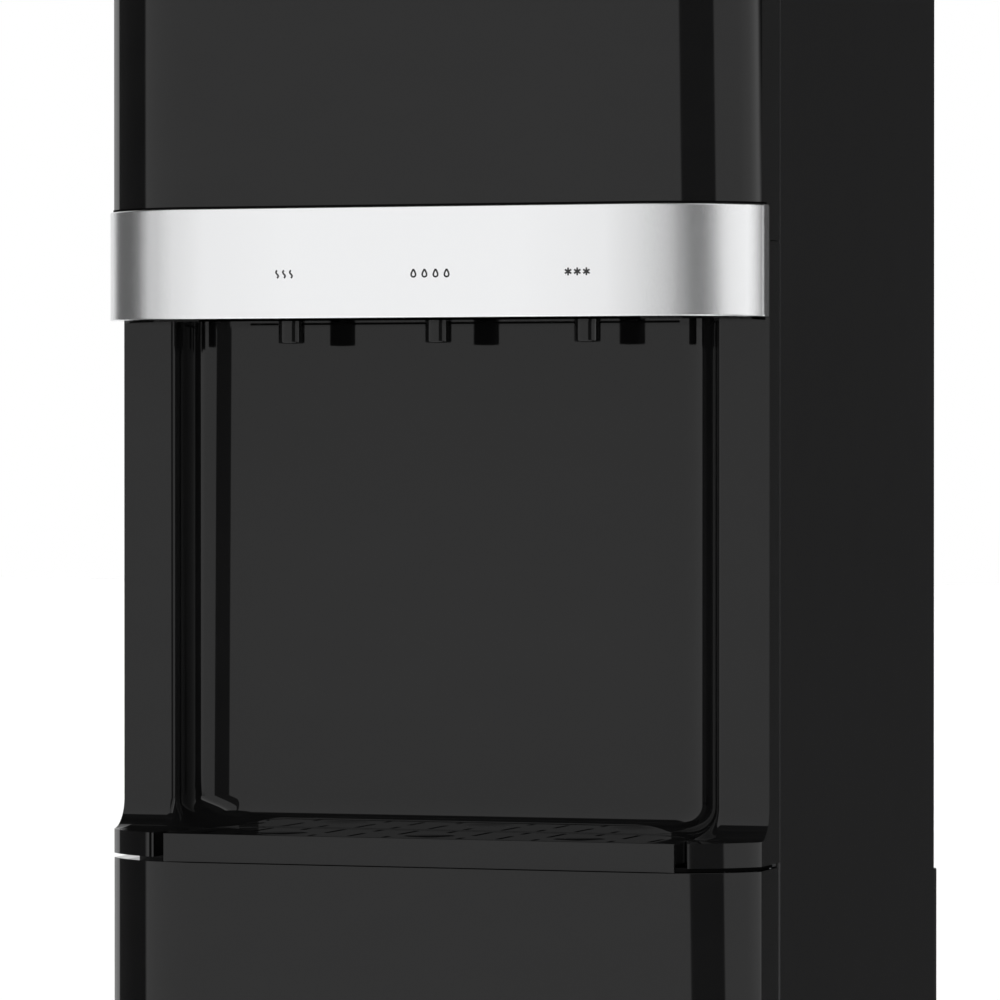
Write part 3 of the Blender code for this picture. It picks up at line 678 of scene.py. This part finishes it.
def alcove_edge(inset, mouth_steps=16, corner_steps=32):
    """The alcove's walls in plan, from beyond the left jamb to beyond the right, moved in by inset."""
    mouth = (ALCOVE_WALL + MOUTH_ROUND, JAMB_Y + MOUTH_ROUND)
    corner = (ALCOVE_WALL - ALCOVE_CORNER, WALL_Y - ALCOVE_CORNER)
    right = [(HALF_WIDTH + CUT, at(JAMB_Y - inset))]
    for step in range(mouth_steps + 1):
        angle = math.radians(90 * step / mouth_steps)
        radius = MOUTH_ROUND + inset
        right.append((mouth[0] - radius * math.sin(angle), at(mouth[1] - radius * math.cos(angle))))
    for step in range(corner_steps + 1):
        angle = math.radians(90 * step / corner_steps)
        radius = ALCOVE_CORNER - inset
        right.append((corner[0] + radius * math.cos(angle), at(corner[1] + radius * math.sin(angle))))
    left = [(-x, y) for x, y in reversed(right)]
    return right + left


def make_alcove():
    """The middle moulding: header, jambs, back wall, coved floor and the two end caps of the lip."""
    low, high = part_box("alcove_moulding")
    back = high[Y] - FRONT
    inner = 0.140
    outline = front_edge(0, STRIP_BACK) + [
        (inner, at(STRIP_BACK)), (inner, at(back)), (-inner, at(back)), (-inner, at(STRIP_BACK)),
    ]
    moulding = prism("alcove_gloss", outline, (low[Z], high[Z]))
    front = [(-HALF_WIDTH - CUT, at(-CUT)), (HALF_WIDTH + CUT, at(-CUT))]
    sections = []
    steps = 20
    for step in range(steps + 1):
        angle = math.radians(90 * step / steps)
        height = PLATFORM + COVE * (1 - math.cos(angle))
        sections.append((front + alcove_edge(COVE * (1 - math.sin(angle))), height))
    sections.append((front + alcove_edge(0), CEILING))
    header = front_edge(-WALL, STRIP_BACK - WALL) + [
        (inner - WALL, at(STRIP_BACK - WALL)), (inner - WALL, at(back - WALL)),
        (-inner + WALL, at(back - WALL)), (-inner + WALL, at(STRIP_BACK - WALL)),
    ]
    cap_front = CORNER_RADIUS - math.sqrt(CORNER_RADIUS ** 2 - (CAP_GROOVE[0] + CORNER_X) ** 2)
    cutters = [
        loft("space", sections),
        prism("header_space", header, (CEILING + WALL, high[Z] + CUT)),
        prism("tray_space", tray_outline(-0.0005, -CUT), (GRILLE_LOW - 0.0071, PLATFORM + 0.03)),
        block("lip_space", (-END_CAP_X, END_CAP_X), (-CUT, GAP_BACK), (low[Z] - CUT, PLATFORM + CUT)),
        block("cap_groove", CAP_GROOVE, (-CUT, cap_front + 0.004), (low[Z] - CUT, PLATFORM + CUT)),
        front_strip("rebate", CUT, -REBATE, JAMB_Y, (CEILING - CUT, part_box("silver_band")[0][Z] + 0.0001)),
    ]
    hole_radius = NOZZLE_RADIUS + 0.0003
    hole = [(hole_radius, CEILING - CUT), (hole_radius, CEILING + CUT)]
    for index in range(len(FUNCTIONS)):
        cutters.append(turned(f"nozzle_hole_{index}", hole, 64, place=(function_x(index), at(NOZZLE_Y), 0)))
    cut(moulding, *cutters)
    finish_piece(moulding, "gloss_black", replaces=["alcove_moulding"], rounding=0.0004, angle=32.0)
    # A dead black line where the back wall meets the ceiling: painted shade in the seam.
    line = block(
        "wall_painted_shade", (-0.104, 0.104), (WALL_Y - 0.0002, WALL_Y + 0.0005), (CEILING - 0.0005, CEILING + 0.0002)
    )
    finish_painted_shade(line)
    # A dead black strip in the groove on the lip's left end: painted shade.
    strip = block(
        "cap_painted_shade", CAP_GROOVE, (cap_front + 0.0003, cap_front + 0.0045), (low[Z] + 0.0001, PLATFORM - 0.0005)
    )
    finish_painted_shade(strip)


def make_tray():
    """The pan, with a front that reaches down to the door and a ledge for the grille."""
    floor = GRILLE_LOW - 0.0068
    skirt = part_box("door_skin")[1][Z] + 0.0001
    width = (-TRAY_HALF, TRAY_HALF)
    tray = prism("tray_gloss", tray_outline(0, TRAY_FRONT + 0.004), (floor, PLATFORM))
    join(
        tray,
        block("tray_front", width, (TRAY_FRONT, TRAY_FRONT + 0.003), (skirt, PLATFORM)),
        block("tray_link", width, (TRAY_FRONT + 0.0015, TRAY_FRONT + 0.006), (floor, PLATFORM)),
    )
    ledge = GRILLE_LOW - 0.0003
    top = PLATFORM + CUT
    cut(
        tray,
        prism("pan_space", tray_outline(RIM_INSET + 0.002, TRAY_FRONT + 0.005), (floor + 0.0015, top)),
        prism("rim_space", tray_outline(RIM_INSET, TRAY_FRONT + 0.003), (ledge, top)),
    )
    finish_piece(tray, "gloss_black", "tray", replaces=["drip_tray"], rounding=0.0002, angle=32.0)


def slit(name, x, span, z):
    """A narrow slot with round ends, front to back."""
    radius = SLOT_WIDTH / 2
    points = []
    for centre, start in ((span[1] - radius, 0), (span[0] + radius, 180)):
        for step in range(7):
            angle = math.radians(start + 30 * step)
            points.append((x + radius * math.cos(angle), at(centre + radius * math.sin(angle))))
    return prism(name, points, z)


def make_grille():
    """Rows of slots, odd and even columns staggered, with a dish under each nozzle."""
    low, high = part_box("drip_grille")
    grille = prism("grille_satin", tray_outline(RIM_INSET + 0.0003, TRAY_FRONT + 0.0033), (low[Z], high[Z]))
    z = (low[Z] - CUT, high[Z] + CUT)
    holes = []
    for column in range(-6, 7):
        x = column * SLOT_PITCH
        spans = ODD_SLOTS if column % 2 else EVEN_SLOTS
        if column in (-4, 0, 4):
            bowl = []
            for reach in (0.02, 0.3, 0.6, 0.8, 0.95):
                bowl.append((DISH_RADIUS * reach, high[Z] - DISH_DEPTH * (1 - reach ** 2)))
            bowl += [(DISH_RADIUS, high[Z] + 0.0001), (DISH_RADIUS, z[1])]
            holes.append(turned(f"dish_{column + 6}", bowl, 72, place=(x, at(DISH_Y), 0)))
            spans = spans[1:]
        if abs(column) == 6:
            spans = EVEN_SLOTS[:1]
        for row, span in enumerate(spans):
            holes.append(slit(f"slit_{column + 6}_{row}", x, span, z))
    cut(grille, merge("grille_holes", holes))
    finish_piece(grille, "gloss_black", "grille", replaces=["drip_grille"])


def make_nozzles():
    for index, name in enumerate(FUNCTIONS):
        low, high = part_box(name + "_nozzle")
        bore = 0.0035
        round_off = 0.0008
        profile = [(bore, high[Z]), (NOZZLE_RADIUS, high[Z]), (NOZZLE_RADIUS, low[Z] + round_off)]
        for inward, short in quarter_round(round_off, 5):
            profile.append((NOZZLE_RADIUS - inward, low[Z] + short))
        profile += [(bore, low[Z]), (bore, high[Z])]
        nozzle = turned(name + "_spout", profile, 64, place=(function_x(index), at(NOZZLE_Y), 0))
        finish_piece(nozzle, "gloss_black", replaces=[name + "_nozzle"])


# ---- door ----
def make_door():
    """The door's skin with its finger recess, and a dead black strip in the gap over its hinge side: painted
    shade.
    """
    low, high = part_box("door_skin")
    chamfer = 0.0015
    rear = high[Y] - FRONT
    outline = front_edge(0, rear)
    outline[-1] = (HALF_WIDTH, at(rear - chamfer))
    outline.append((HALF_WIDTH - chamfer, at(rear)))
    skin = prism("door_gloss", outline, (low[Z], high[Z]))
    cut(
        skin,
        prism("door_space", front_edge(-WALL, rear + CUT), (low[Z] + WALL, high[Z] - WALL)),
        block("grip", (-HALF_WIDTH - CUT, -HALF_WIDTH + 0.006), (0.043, rear + CUT), GRIP_Z),
    )
    finish_piece(skin, "gloss_black", "door", replaces=["door_skin"], rounding=0.0002)
    # A dead black strip in the gap over the hinge side: painted shade.
    hinge_side = [*front_corner(1, -0.0012)[8:], (HALF_WIDTH - 0.0012, at(0.0475))]
    inside = [(x - 0.003, y + 0.002) for x, y in hinge_side]
    gap = (high[Z] + 0.0003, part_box("alcove_moulding")[0][Z] + 0.0002)
    seal = shell("hinge_side_painted_shade", hinge_side, inside, gap)
    finish_painted_shade(seal)


# ---- icons ----
def stroke(name, points, width, depth):
    """A thin raised line on the front, through (x, z) points, with square ends."""
    left, right = [], []
    for i, (x, z) in enumerate(points):
        ahead = points[min(i + 1, len(points) - 1)]
        behind = points[max(i - 1, 0)]
        along = Vector((ahead[0] - behind[0], ahead[1] - behind[1])).normalized() * width / 2
        left.append((x - along.y, z + along.x))
        right.append((x + along.y, z - along.x))
    outline = left + right[::-1]
    count = len(outline)
    verts = [(x, at(y), z) for y in depth for x, z in outline]
    faces = []
    for i in range(len(points) - 1):
        faces.append((i, i + 1, count - 2 - i, count - 1 - i))
        faces.append((count + i, 2 * count - 1 - i, 2 * count - 2 - i, count + i + 1))
    for i in range(count):
        j = (i + 1) % count
        faces.append((i, j, count + j, count + i))
    return from_faces(name, verts, faces)


def steam(name, centre, height, width, depth):
    """Three rising waves."""
    parts = []
    for column in (-1, 0, 1):
        points = []
        for step in range(17):
            t = step / 16
            x = centre[0] + column * height * 0.95 + height * 0.16 * math.sin(2 * math.pi * t)
            points.append((x, centre[1] + height * (t - 0.5)))
        parts.append(stroke(f"{name}_{column + 1}", points, width, depth))
    return merge(name, parts)


def drops(name, centre, height, width, depth):
    """A row of outlined drops."""
    parts = []
    for column in (-1.5, -0.5, 0.5, 1.5):
        points = []
        for step in range(25):
            angle = 2 * math.pi * step / 24
            pinch = math.sin(angle / 2) ** 1.4
            x = centre[0] + column * height * 1.5 + height * 0.42 * math.sin(angle) * pinch
            points.append((x, centre[1] + height * 0.5 * math.cos(angle)))
        parts.append(stroke(f"{name}_{column}", points, width, depth))
    return merge(name, parts)


def flakes(name, centre, height, width, depth):
    """Three six-armed ice stars."""
    parts = []
    for column in (-1, 0, 1):
        for arm in range(3):
            angle = math.radians(90 + 60 * arm)
            reach = Vector((math.cos(angle), math.sin(angle))) * height / 2
            middle = Vector((centre[0] + column * height * 1.22, centre[1]))
            start, end = middle - reach, middle + reach
            points = [tuple(start.lerp(end, t / 4)) for t in range(5)]
            near = depth[0] - 0.000004 * arm
            parts.append(stroke(f"{name}_{column + 1}_{arm}", points, width, (near, depth[1])))
    return merge(name, parts)


ICONS = {"hot": steam, "normal": drops, "cold": flakes}


def make_band_icons():
    """The marks over the nozzles, printed on the band."""
    depth = (-BAND_PROUD - 0.00003, -BAND_PROUD + 0.0001)
    height, width = 0.0035, 0.0008
    for (name, draw), x in zip(ICONS.items(), (-0.0613, 0.0084, 0.0776)):
        mark = draw(name + "_band_mark", (x, 0.827), height, width, depth)
        finish_piece(mark, "ink")


# ---- buttons ----
def make_buttons():
    """The push buttons' dished caps, each with its mark."""
    for index, name in enumerate(FUNCTIONS):
        low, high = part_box(name + "_button")
        proud = low[Y] - FRONT
        round_off = 0.0009
        depth = high[Y] - low[Y]
        flange = 0.0055
        profile = [(BUTTON_RADIUS, 0.0), (BUTTON_RADIUS, depth - flange), (BUTTON_RADIUS, depth - round_off)]
        for inward, short in quarter_round(round_off, 8):
            profile.append((BUTTON_RADIUS - inward, depth - short))
        dish = 0.0007
        for step in range(1, 12):
            reach = 1 - step / 12
            profile.append(((BUTTON_RADIUS - round_off - 0.0006) * reach, depth - dish * (1 - reach * reach)))
        cap = turned(name + "_cap", profile, 96, FACING_FRONT, (function_x(index), high[Y], BUTTON_Z))
        body = name + "_key"
        finish_piece(cap, "gloss_black", body, replaces=[name + "_button"])
        height, width = 0.0036, 0.0005
        centre = (function_x(index), BUTTON_Z)
        mark = ICONS[name](name + "_key_mark", centre, height, width, (proud + 0.0004, proud + 0.0012))
        finish_piece(mark, "pale_ink", body)


# ---- cabinet ----
def fillet(outline, radii, steps=8):
    """Rounds chosen corners of an outline; radii gives a radius for each corner's index."""
    points = []
    count = len(outline)
    for i, corner in enumerate(outline):
        radius = radii.get(i)
        if not radius:
            points.append(corner)
            continue
        here = Vector(corner)
        to_last = (Vector(outline[i - 1]) - here).normalized()
        to_next = (Vector(outline[(i + 1) % count]) - here).normalized()
        centre = here + (to_last + to_next) * radius
        start, end = here + to_last * radius, here + to_next * radius
        first, last = start - centre, end - centre
        for step in range(steps + 1):
            t = math.radians(90 * step / steps)
            points.append(tuple(centre + first * math.cos(t) + last * math.sin(t)))
    return points


def make_side_panels():
    """Folded sheets with a flange at the front and the back."""
    for name, side in (("left_side_panel", -1), ("right_side_panel", 1)):
        low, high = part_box(name)
        inner = HALF_WIDTH - SHEET
        flange = HALF_WIDTH - 0.012
        front, back = low[Y], high[Y]
        outline = [
            (flange, front), (HALF_WIDTH, front), (HALF_WIDTH, back), (flange, back),
            (flange, back - SHEET), (inner, back - SHEET), (inner, front + SHEET), (flange, front + SHEET),
        ]
        outline = fillet(outline, {1: 0.0016, 2: 0.0016, 5: 0.0006, 6: 0.0006})
        panel = prism(name + "_sheet", [(side * x, y) for x, y in outline], (low[Z], high[Z]))
        finish_piece(panel, "dark_steel", replaces=[name])


def make_top_cover():
    """The lid, with a rounded upper edge all round."""
    low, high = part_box("top_cover")
    round_off = 0.0035
    plan = front_edge(0, CABINET_BACK)
    sections = [(plan, low[Z]), (plan, high[Z] - round_off)]
    for inward, short in quarter_round(round_off, 8):
        sections.append((front_edge(-inward, CABINET_BACK - inward), high[Z] - short))
    cover = loft("top_cover_satin", sections)
    finish_piece(cover, "satin_black", replaces=["top_cover"])


def make_base():
    low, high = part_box("base_plinth")
    sections = [
        (front_edge(-0.0035, CABINET_BACK - 0.0015), low[Z]),
        (front_edge(-0.0020, CABINET_BACK), low[Z] + 0.0015),
        (front_edge(-0.0020, CABINET_BACK), high[Z]),
    ]
    base = loft("base_satin", sections)
    finish_piece(base, "satin_black", replaces=["base_plinth"])


def make_feet():
    """Rubber feet, waisted and rounded where they meet the floor."""
    for name in ("front_left_foot", "front_right_foot", "rear_left_foot", "rear_right_foot"):
        low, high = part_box(name)
        place = ((low[X] + high[X]) / 2, (low[Y] + high[Y]) / 2, 0)
        radius = (high[X] - low[X]) / 2
        profile = [
            (radius - 0.0015, low[Z]), (radius - 0.0004, low[Z] + 0.0005), (radius, low[Z] + 0.0018),
            (radius, low[Z] + 0.008), (radius - 0.002, low[Z] + 0.011), (radius - 0.002, high[Z]),
        ]
        finish_piece(turned(name + "_rubber", profile, place=place), "black_rubber", replaces=[name])


def screw(name, x, z, y):
    """A pan-head screw with a cross slot, standing on a rear face."""
    radius = 0.0034
    profile = [
        (radius, 0.0), (radius, 0.0006), (radius - 0.0005, 0.0014), (radius - 0.0014, 0.0019),
        (0.0006, 0.0021),
    ]
    head = turned(name, profile, 32, FACING_BACK, (x, y, z))
    depth = (y + 0.0011 - FRONT, y + 0.0030 - FRONT)
    reach, half = 0.0019, 0.0004
    cut(
        head,
        block(name + "_level", (x - reach, x + reach), depth, (z - half, z + half)),
        block(name + "_upright", (x - half, x + half), depth, (z - reach, z + reach)),
    )
    return head


def rear_openings(through, back):
    """Cutters for the upper sheet: the switch window, two columns of vents and three ports."""
    holes = [block("switch_window", (0.0725, 0.1175), through, (0.9205, 0.9395))]
    for row in range(6):
        for side in (-1, 1):
            z = 0.690 + row * 0.020
            width = (side * 0.065 - 0.030, side * 0.065 + 0.030)
            vent = block(f"vent_{row}_{side + 1}", width, through, (z, z + 0.005))
            edge_round(vent, 0.0024, 5, 80.0)
            apply_modifiers(vent)
            holes.append(vent)
    for x, z, radius in ((GLAND_X, PORT_Z, 0.0073), (DRAIN_X, PORT_Z, 0.0083), (-0.110, 0.640, 0.0065)):
        ring = [(radius, 0.0), (radius, 0.04)]
        holes.append(turned(f"window_{x}", ring, 48, FACING_FRONT, (x, back + 0.02, z)))
    return holes


def make_rear_panels():
    """The two rear sheets with their openings and the screws that hold them."""
    for name in ("rear_lower_panel", "rear_upper_panel"):
        low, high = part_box(name)
        panel = box_of(name, name + "_sheet")
        if name == "rear_upper_panel":
            cut(panel, *rear_openings((low[Y] - FRONT - CUT, high[Y] - FRONT + CUT), high[Y]))
        finish_piece(panel, "dark_steel", replaces=[name], rounding=0.0003, segments=2)
        heads = []
        for column in (-0.135, 0.0, 0.135):
            for z in (low[Z] + 0.010, high[Z] - 0.010):
                heads.append(screw(f"{name}_screw_{column}_{z:.3f}", column, z, high[Y]))
        finish_piece(merge(name + "_screws", heads), "zinc_steel")


def condenser_route(half_turn_steps=20):
    """The condenser's serpentine: level runs joined by half-turns at alternate ends."""
    runs, pitch, half, low = 8, 0.050, 0.118, 0.170
    points = []
    for run in range(runs):
        z = low + run * pitch
        side = 1 if run % 2 == 0 else -1
        points.append((-side * half, CONDENSER_Y, z))
        points.append((side * half, CONDENSER_Y, z))
        if run < runs - 1:
            for step in range(1, half_turn_steps):
                angle = math.pi * step / half_turn_steps
                x = side * (half + pitch / 2 * math.sin(angle))
                points.append((x, CONDENSER_Y, z + pitch / 2 * (1 - math.cos(angle))))
    return points


def make_condenser():
    """A wire-and-tube condenser between two pressed strips."""
    coil = tube("condenser_tube", condenser_route(), CONDENSER_RADIUS, 16)
    finish_piece(coil, "black_enamel", replaces=["condenser"])
    wire = [(0.0007, 0.0), (0.0007, 0.370)]
    wires = []
    for column in range(30):
        x = -0.1145 + column * 0.0079
        for face in (-1, 1):
            place = (x, CONDENSER_Y + face * 0.0032, 0.160)
            wires.append(turned(f"wire_{column}_{face}", wire, 8, place=place))
    finish_piece(merge("condenser_wires", wires), "black_enamel")
    for name in ("left_condenser_strip", "right_condenser_strip"):
        finish_piece(box_of(name, name + "_bar"), "black_enamel", replaces=[name], rounding=0.0008)


def make_switches():
    """The bezel and the two rockers in it."""
    bezel = box_of("switch_bezel", "bezel")
    holes = []
    for x in SWITCH_X.values():
        width = (x - 0.0085, x + 0.0085)
        holes.append(block(f"rocker_hole_{x}", width, (0.33, 0.35), (0.9225, 0.9375)))
    cut(bezel, *holes)
    finish_piece(bezel, "satin_black", replaces=["switch_bezel"], rounding=0.0005)
    for name, look in (("hot", "red_plastic"), ("cold", "blue_plastic")):
        half = 0.0065
        outline = [(-half, -0.001), (0, -0.003), (half, -0.001), (half, 0.0035), (0, 0.0022), (-half, 0.0015)]
        rocker = prism(name + "_rocker_cap", outline, (-0.0075, 0.0075))
        tilt = Matrix.Rotation(math.radians(-7.0), 4, "X") @ Matrix.Rotation(math.radians(-90), 4, "Y")
        rocker.data.transform(Matrix.Translation((SWITCH_X[name], REAR_FACE + 0.001, SWITCH_Z)) @ tilt)
        finish_piece(rocker, look, name + "_rocker", replaces=[name + "_switch"], rounding=0.0004, angle=10.0)


def make_gland():
    """The mains cable's gland."""
    gland = turned("gland_body", [
        (0.0040, 0.0), (0.0066, 0.0), (0.0068, 0.0004), (0.0068, 0.0063), (0.0093, 0.0063), (0.0095, 0.0066),
        (0.0095, 0.0116), (0.0090, 0.0121), (0.0068, 0.0123), (0.0066, 0.0146), (0.0061, 0.0150),
        (0.0044, 0.0150), (0.0040, 0.0146), (0.0040, 0.0),
    ], 64, FACING_BACK, (GLAND_X, REAR_FACE - 0.006, PORT_Z))
    finish_piece(gland, "satin_black", replaces=["cable_gland"])


def make_drain():
    """The drain spout and its cap."""
    spout = turned("drain_spout_body", [
        (0.0050, 0.0), (0.0078, 0.0), (0.0078, 0.0262), (0.0071, 0.0270), (0.0056, 0.0270), (0.0050, 0.0264),
        (0.0050, 0.0),
    ], 64, FACING_BACK, (DRAIN_X, REAR_FACE - 0.020, PORT_Z))
    finish_piece(spout, "white_plastic", replaces=["drain_spout"])
    cap = turned("drain_cap_body", [
        (0.0082, 0.0), (0.0106, 0.0), (0.0110, 0.0004), (0.0110, 0.0088), (0.0105, 0.0105), (0.0092, 0.0115),
        (0.0030, 0.0117), (0.0002, 0.0114), (0.0002, 0.0072), (0.0082, 0.0072), (0.0082, 0.0),
    ], 64, FACING_BACK, (DRAIN_X, REAR_FACE + 0.0003, PORT_Z))
    finish_piece(cap, "satin_black", "drain_stopper", replaces=["drain_cap"])


def smooth_route(knots, per_span=12):
    """A Catmull-Rom curve through knots given as (x, depth, z)."""
    padded = [Vector(knots[0]), *[Vector(knot) for knot in knots], Vector(knots[-1])]
    route = []
    for p, q, r, s in zip(padded, padded[1:], padded[2:], padded[3:]):
        for step in range(per_span):
            t = step / per_span
            bend = 2 * q + (r - p) * t + (2 * p - 5 * q + 4 * r - s) * t * t
            bend += (3 * q - p - 3 * r + s) * t ** 3
            route.append(bend / 2)
    route.append(Vector(knots[-1]))
    return [(point.x, at(point.y), point.z) for point in route]


def make_lines():
    """The refrigerant line and the hose from the pump down to the bottle."""
    knots = [
        (0.030, 0.235, 0.7375), (0.030, 0.240, 0.755), (-0.020, 0.270, 0.760), (-0.090, 0.300, 0.700),
        (-0.110, 0.322, 0.645), (-0.110, 0.340, 0.640), (-0.122, 0.352, 0.625), (-0.135, 0.3548, 0.580),
        (-0.135, 0.3548, 0.538), (-0.128, 0.3548, 0.522), (-0.1184, 0.3548, 0.520),
    ]
    line = tube("refrigerant_line_bar", smooth_route(knots), 0.0026, 16)
    finish_piece(line, "black_enamel", replaces=["refrigerant_line"])
    knots = [
        (0.130, 0.312, 0.5206), (0.130, 0.312, 0.545), (0.129, 0.300, 0.580), (0.128, 0.220, 0.600),
        (0.110, 0.120, 0.598), (0.020, 0.095, 0.590), (-0.040, 0.118, 0.585), (-0.060, 0.137, 0.585),
        (-0.0744, 0.140, 0.585),
    ]
    hose = tube("suction_hose_bar", smooth_route(knots), 0.004, 24)
    finish_piece(hose, "silicone_hose", replaces=["suction_hose"])


def make_probe():
    """The tube that stands in the bottle, with the ribs round its collar."""
    low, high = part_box("bottle_probe")
    place = ((low[X] + high[X]) / 2, (low[Y] + high[Y]) / 2, 0)
    profile = [
        (0.0002, 0.520), (0.0094, 0.520), (0.0102, 0.5196), (0.0156, 0.5128), (0.0160, 0.5115),
        (0.0160, 0.4810), (0.0157, 0.4796), (0.0083, 0.4704), (0.0080, 0.4690), (0.0080, 0.1410),
        (0.0078, 0.1396), (0.0042, 0.1284), (0.0036, 0.1280), (0.0002, 0.1280),
    ]
    finish_piece(turned("probe_tube", profile, 64, place=place), "white_plastic", replaces=["bottle_probe"])
    ribs = []
    for row in range(4):
        z = 0.486 + row * 0.006
        ring = [(0.0155, z), (0.0164, z + 0.0005), (0.0164, z + 0.0020), (0.0155, z + 0.0025)]
        ribs.append(turned(f"probe_rib_{row}", ring, 64, place=place))
    finish_piece(merge("probe_ribs", ribs), "white_plastic")


def make_door_inside():
    """The door's liner: a pressed field with ribs, and a soft seal round its edge."""
    low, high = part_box("door_liner")
    back = high[Y] - FRONT
    liner = box_of("door_liner", "liner_sheet")
    finish_piece(liner, "satin_black", "door", replaces=["door_liner"], rounding=0.0004)
    ribs = []
    for row in range(5):
        z = 0.110 + row * 0.095
        rib = block(f"liner_rib_{row}", (-0.115, 0.115), (back - 0.0005, back + 0.0025), (z, z + 0.004))
        edge_round(rib, 0.0012)
        apply_modifiers(rib)
        ribs.append(rib)
    finish_piece(merge("liner_ribs", ribs), "satin_black", "door")
    strip = 0.0045
    inset = 0.0025
    left, right = low[X] + inset, high[X] - inset
    bottom, top = low[Z] + inset, high[Z] - inset
    depth = (back - 0.0005, back + 0.0045)
    seal = block("door_seal_bars", (left, right), depth, (bottom, top))
    hollow = (back - CUT, back + CUT)
    cut(seal, block("seal_hollow", (left + strip, right - strip), hollow, (bottom + strip, top - strip)))
    finish_piece(seal, "black_rubber", "door", rounding=0.0012)


def make_grip_cup():
    """The cup behind the door's finger recess; it keeps the recess from opening into the bay."""
    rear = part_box("door_skin")[1][Y] - FRONT
    low, high = GRIP_Z
    outer = -0.1526
    cup = block("grip_cup", (outer, -0.1480), (0.0385, rear), (low - 0.006, high + 0.006))
    hollow = (low - 0.002, high + 0.002)
    cut(cup, block("cup_hollow", (outer - CUT, -0.1496), (0.0410, rear + CUT), hollow))
    finish_piece(cup, "satin_black", "door")


# ---- carried-over CAD nodes ----
def dress_frame():
    """Gives every CAD node the look of its slot."""
    by_node = {part["node"]: part["material_slot"] for part in frame["record"]["subparts"]}
    for name, node in frame["nodes"].items():
        node.data.materials.clear()
        node.data.materials.append(LOOKS[by_node[name]])


# ---- stage ----
def make_floor():
    mesh = bpy.data.meshes.new("floor")
    half = 30.0
    corners = [(-half, -half, 0), (half, -half, 0), (half, half, 0), (-half, half, 0)]
    mesh.from_pydata(corners, [], [(0, 1, 2, 3)])
    floor = link_object("floor", mesh)
    nodes = surface("floor", specular=0.0)
    cloud = nodes.noise(0.4, 2.0)
    mesh.materials.append(nodes.feed(nodes.blend(cloud, (0.90, 0.90, 0.90), (0.93, 0.93, 0.93)), 0.9))
    floor.visible_glossy = False


# The room's light by the angle round it in degrees, and by how far up it is, from -1 to 1.
ROOM_PANELS = (
    (-180, 0.90), (-117, 0.90), (-116, 0.07), (-73.5, 0.07), (-72.5, 0.95), (23, 0.95), (24, 0.115),
    (52, 0.115), (53, 0.94), (75, 0.94), (85, 1.15), (90, 1.6), (92, 2.0), (95, 2.0), (96, 0.055),
    (180, 0.055),
)
ROOM_RISE = ((-1.0, 1.25), (-0.40, 1.25), (-0.15, 1.0), (0.82, 1.0), (0.84, 0.03))


def make_world():
    """A white room with dark gaps between its light panels; the camera itself sees it white."""
    world = bpy.data.worlds.new("studio")
    bpy.context.scene.world = world
    nodes = Nodes(world)
    background = nodes.tree.nodes["Background"]
    direction = nodes.add("ShaderNodeSeparateXYZ")
    nodes.link(nodes.add("ShaderNodeTexCoord").outputs["Generated"], direction.inputs["Vector"])
    x, y, z = direction.outputs
    turn = nodes.maths("ARCTAN2", x, nodes.maths("MULTIPLY", y, -1.0))
    lean = nodes.maths("MULTIPLY", nodes.fit(turn, 0.0, 1.15, (0.0, 0.2)), z)
    around = nodes.fit(nodes.maths("ADD", turn, lean), 0.0, 1.0, (-math.pi, math.pi))
    panels = nodes.ramp(around, [((angle + 180) / 360, level) for angle, level in ROOM_PANELS])
    upward = nodes.fit(z, 0.0, 1.0, (-1.0, 1.0))
    rise = nodes.ramp(upward, [((1 + height) / 2, level) for height, level in ROOM_RISE])
    seen = nodes.add("ShaderNodeLightPath").outputs["Is Camera Ray"]
    brightness = nodes.maths("MAXIMUM", nodes.maths("MULTIPLY", panels, rise), seen)
    nodes.link(brightness, background.inputs["Strength"])
    background.inputs["Color"].default_value = (1.0, 1.0, 1.0, 1.0)


def make_lights():
    """One very soft light from above."""
    lamp = bpy.data.lights.new("ceiling", "SUN")
    lamp.energy = 2.6
    lamp.angle = math.radians(60)
    sun = bpy.data.objects.new("ceiling", lamp)
    sun.rotation_euler = (math.radians(20), math.radians(10), 0)
    sun.visible_glossy = False
    bpy.context.scene.collection.objects.link(sun)


def make_camera():
    camera = bpy.data.cameras.new("camera")
    camera.lens = 218.3
    camera.sensor_width = 36.0
    camera.clip_end = 60.0
    eye = bpy.data.objects.new("camera", camera)
    eye.location = (0.891, -2.750, 0.7475)
    eye.rotation_euler = (math.radians(90 - 0.47), 0, math.radians(18.29))
    bpy.context.scene.collection.objects.link(eye)
    bpy.context.scene.camera = eye
    bpy.context.scene.view_settings.view_transform = "Standard"


def main():
    dress_frame()
    make_upper_panel()
    make_band()
    make_alcove()
    make_tray()
    make_grille()
    make_nozzles()
    make_door()
    make_band_icons()
    make_buttons()
    make_side_panels()
    make_top_cover()
    make_base()
    make_feet()
    make_rear_panels()
    make_condenser()
    make_switches()
    make_gland()
    make_drain()
    make_lines()
    make_probe()
    make_door_inside()
    make_grip_cup()
    make_floor()
    make_world()
    make_lights()
    make_camera()


main()
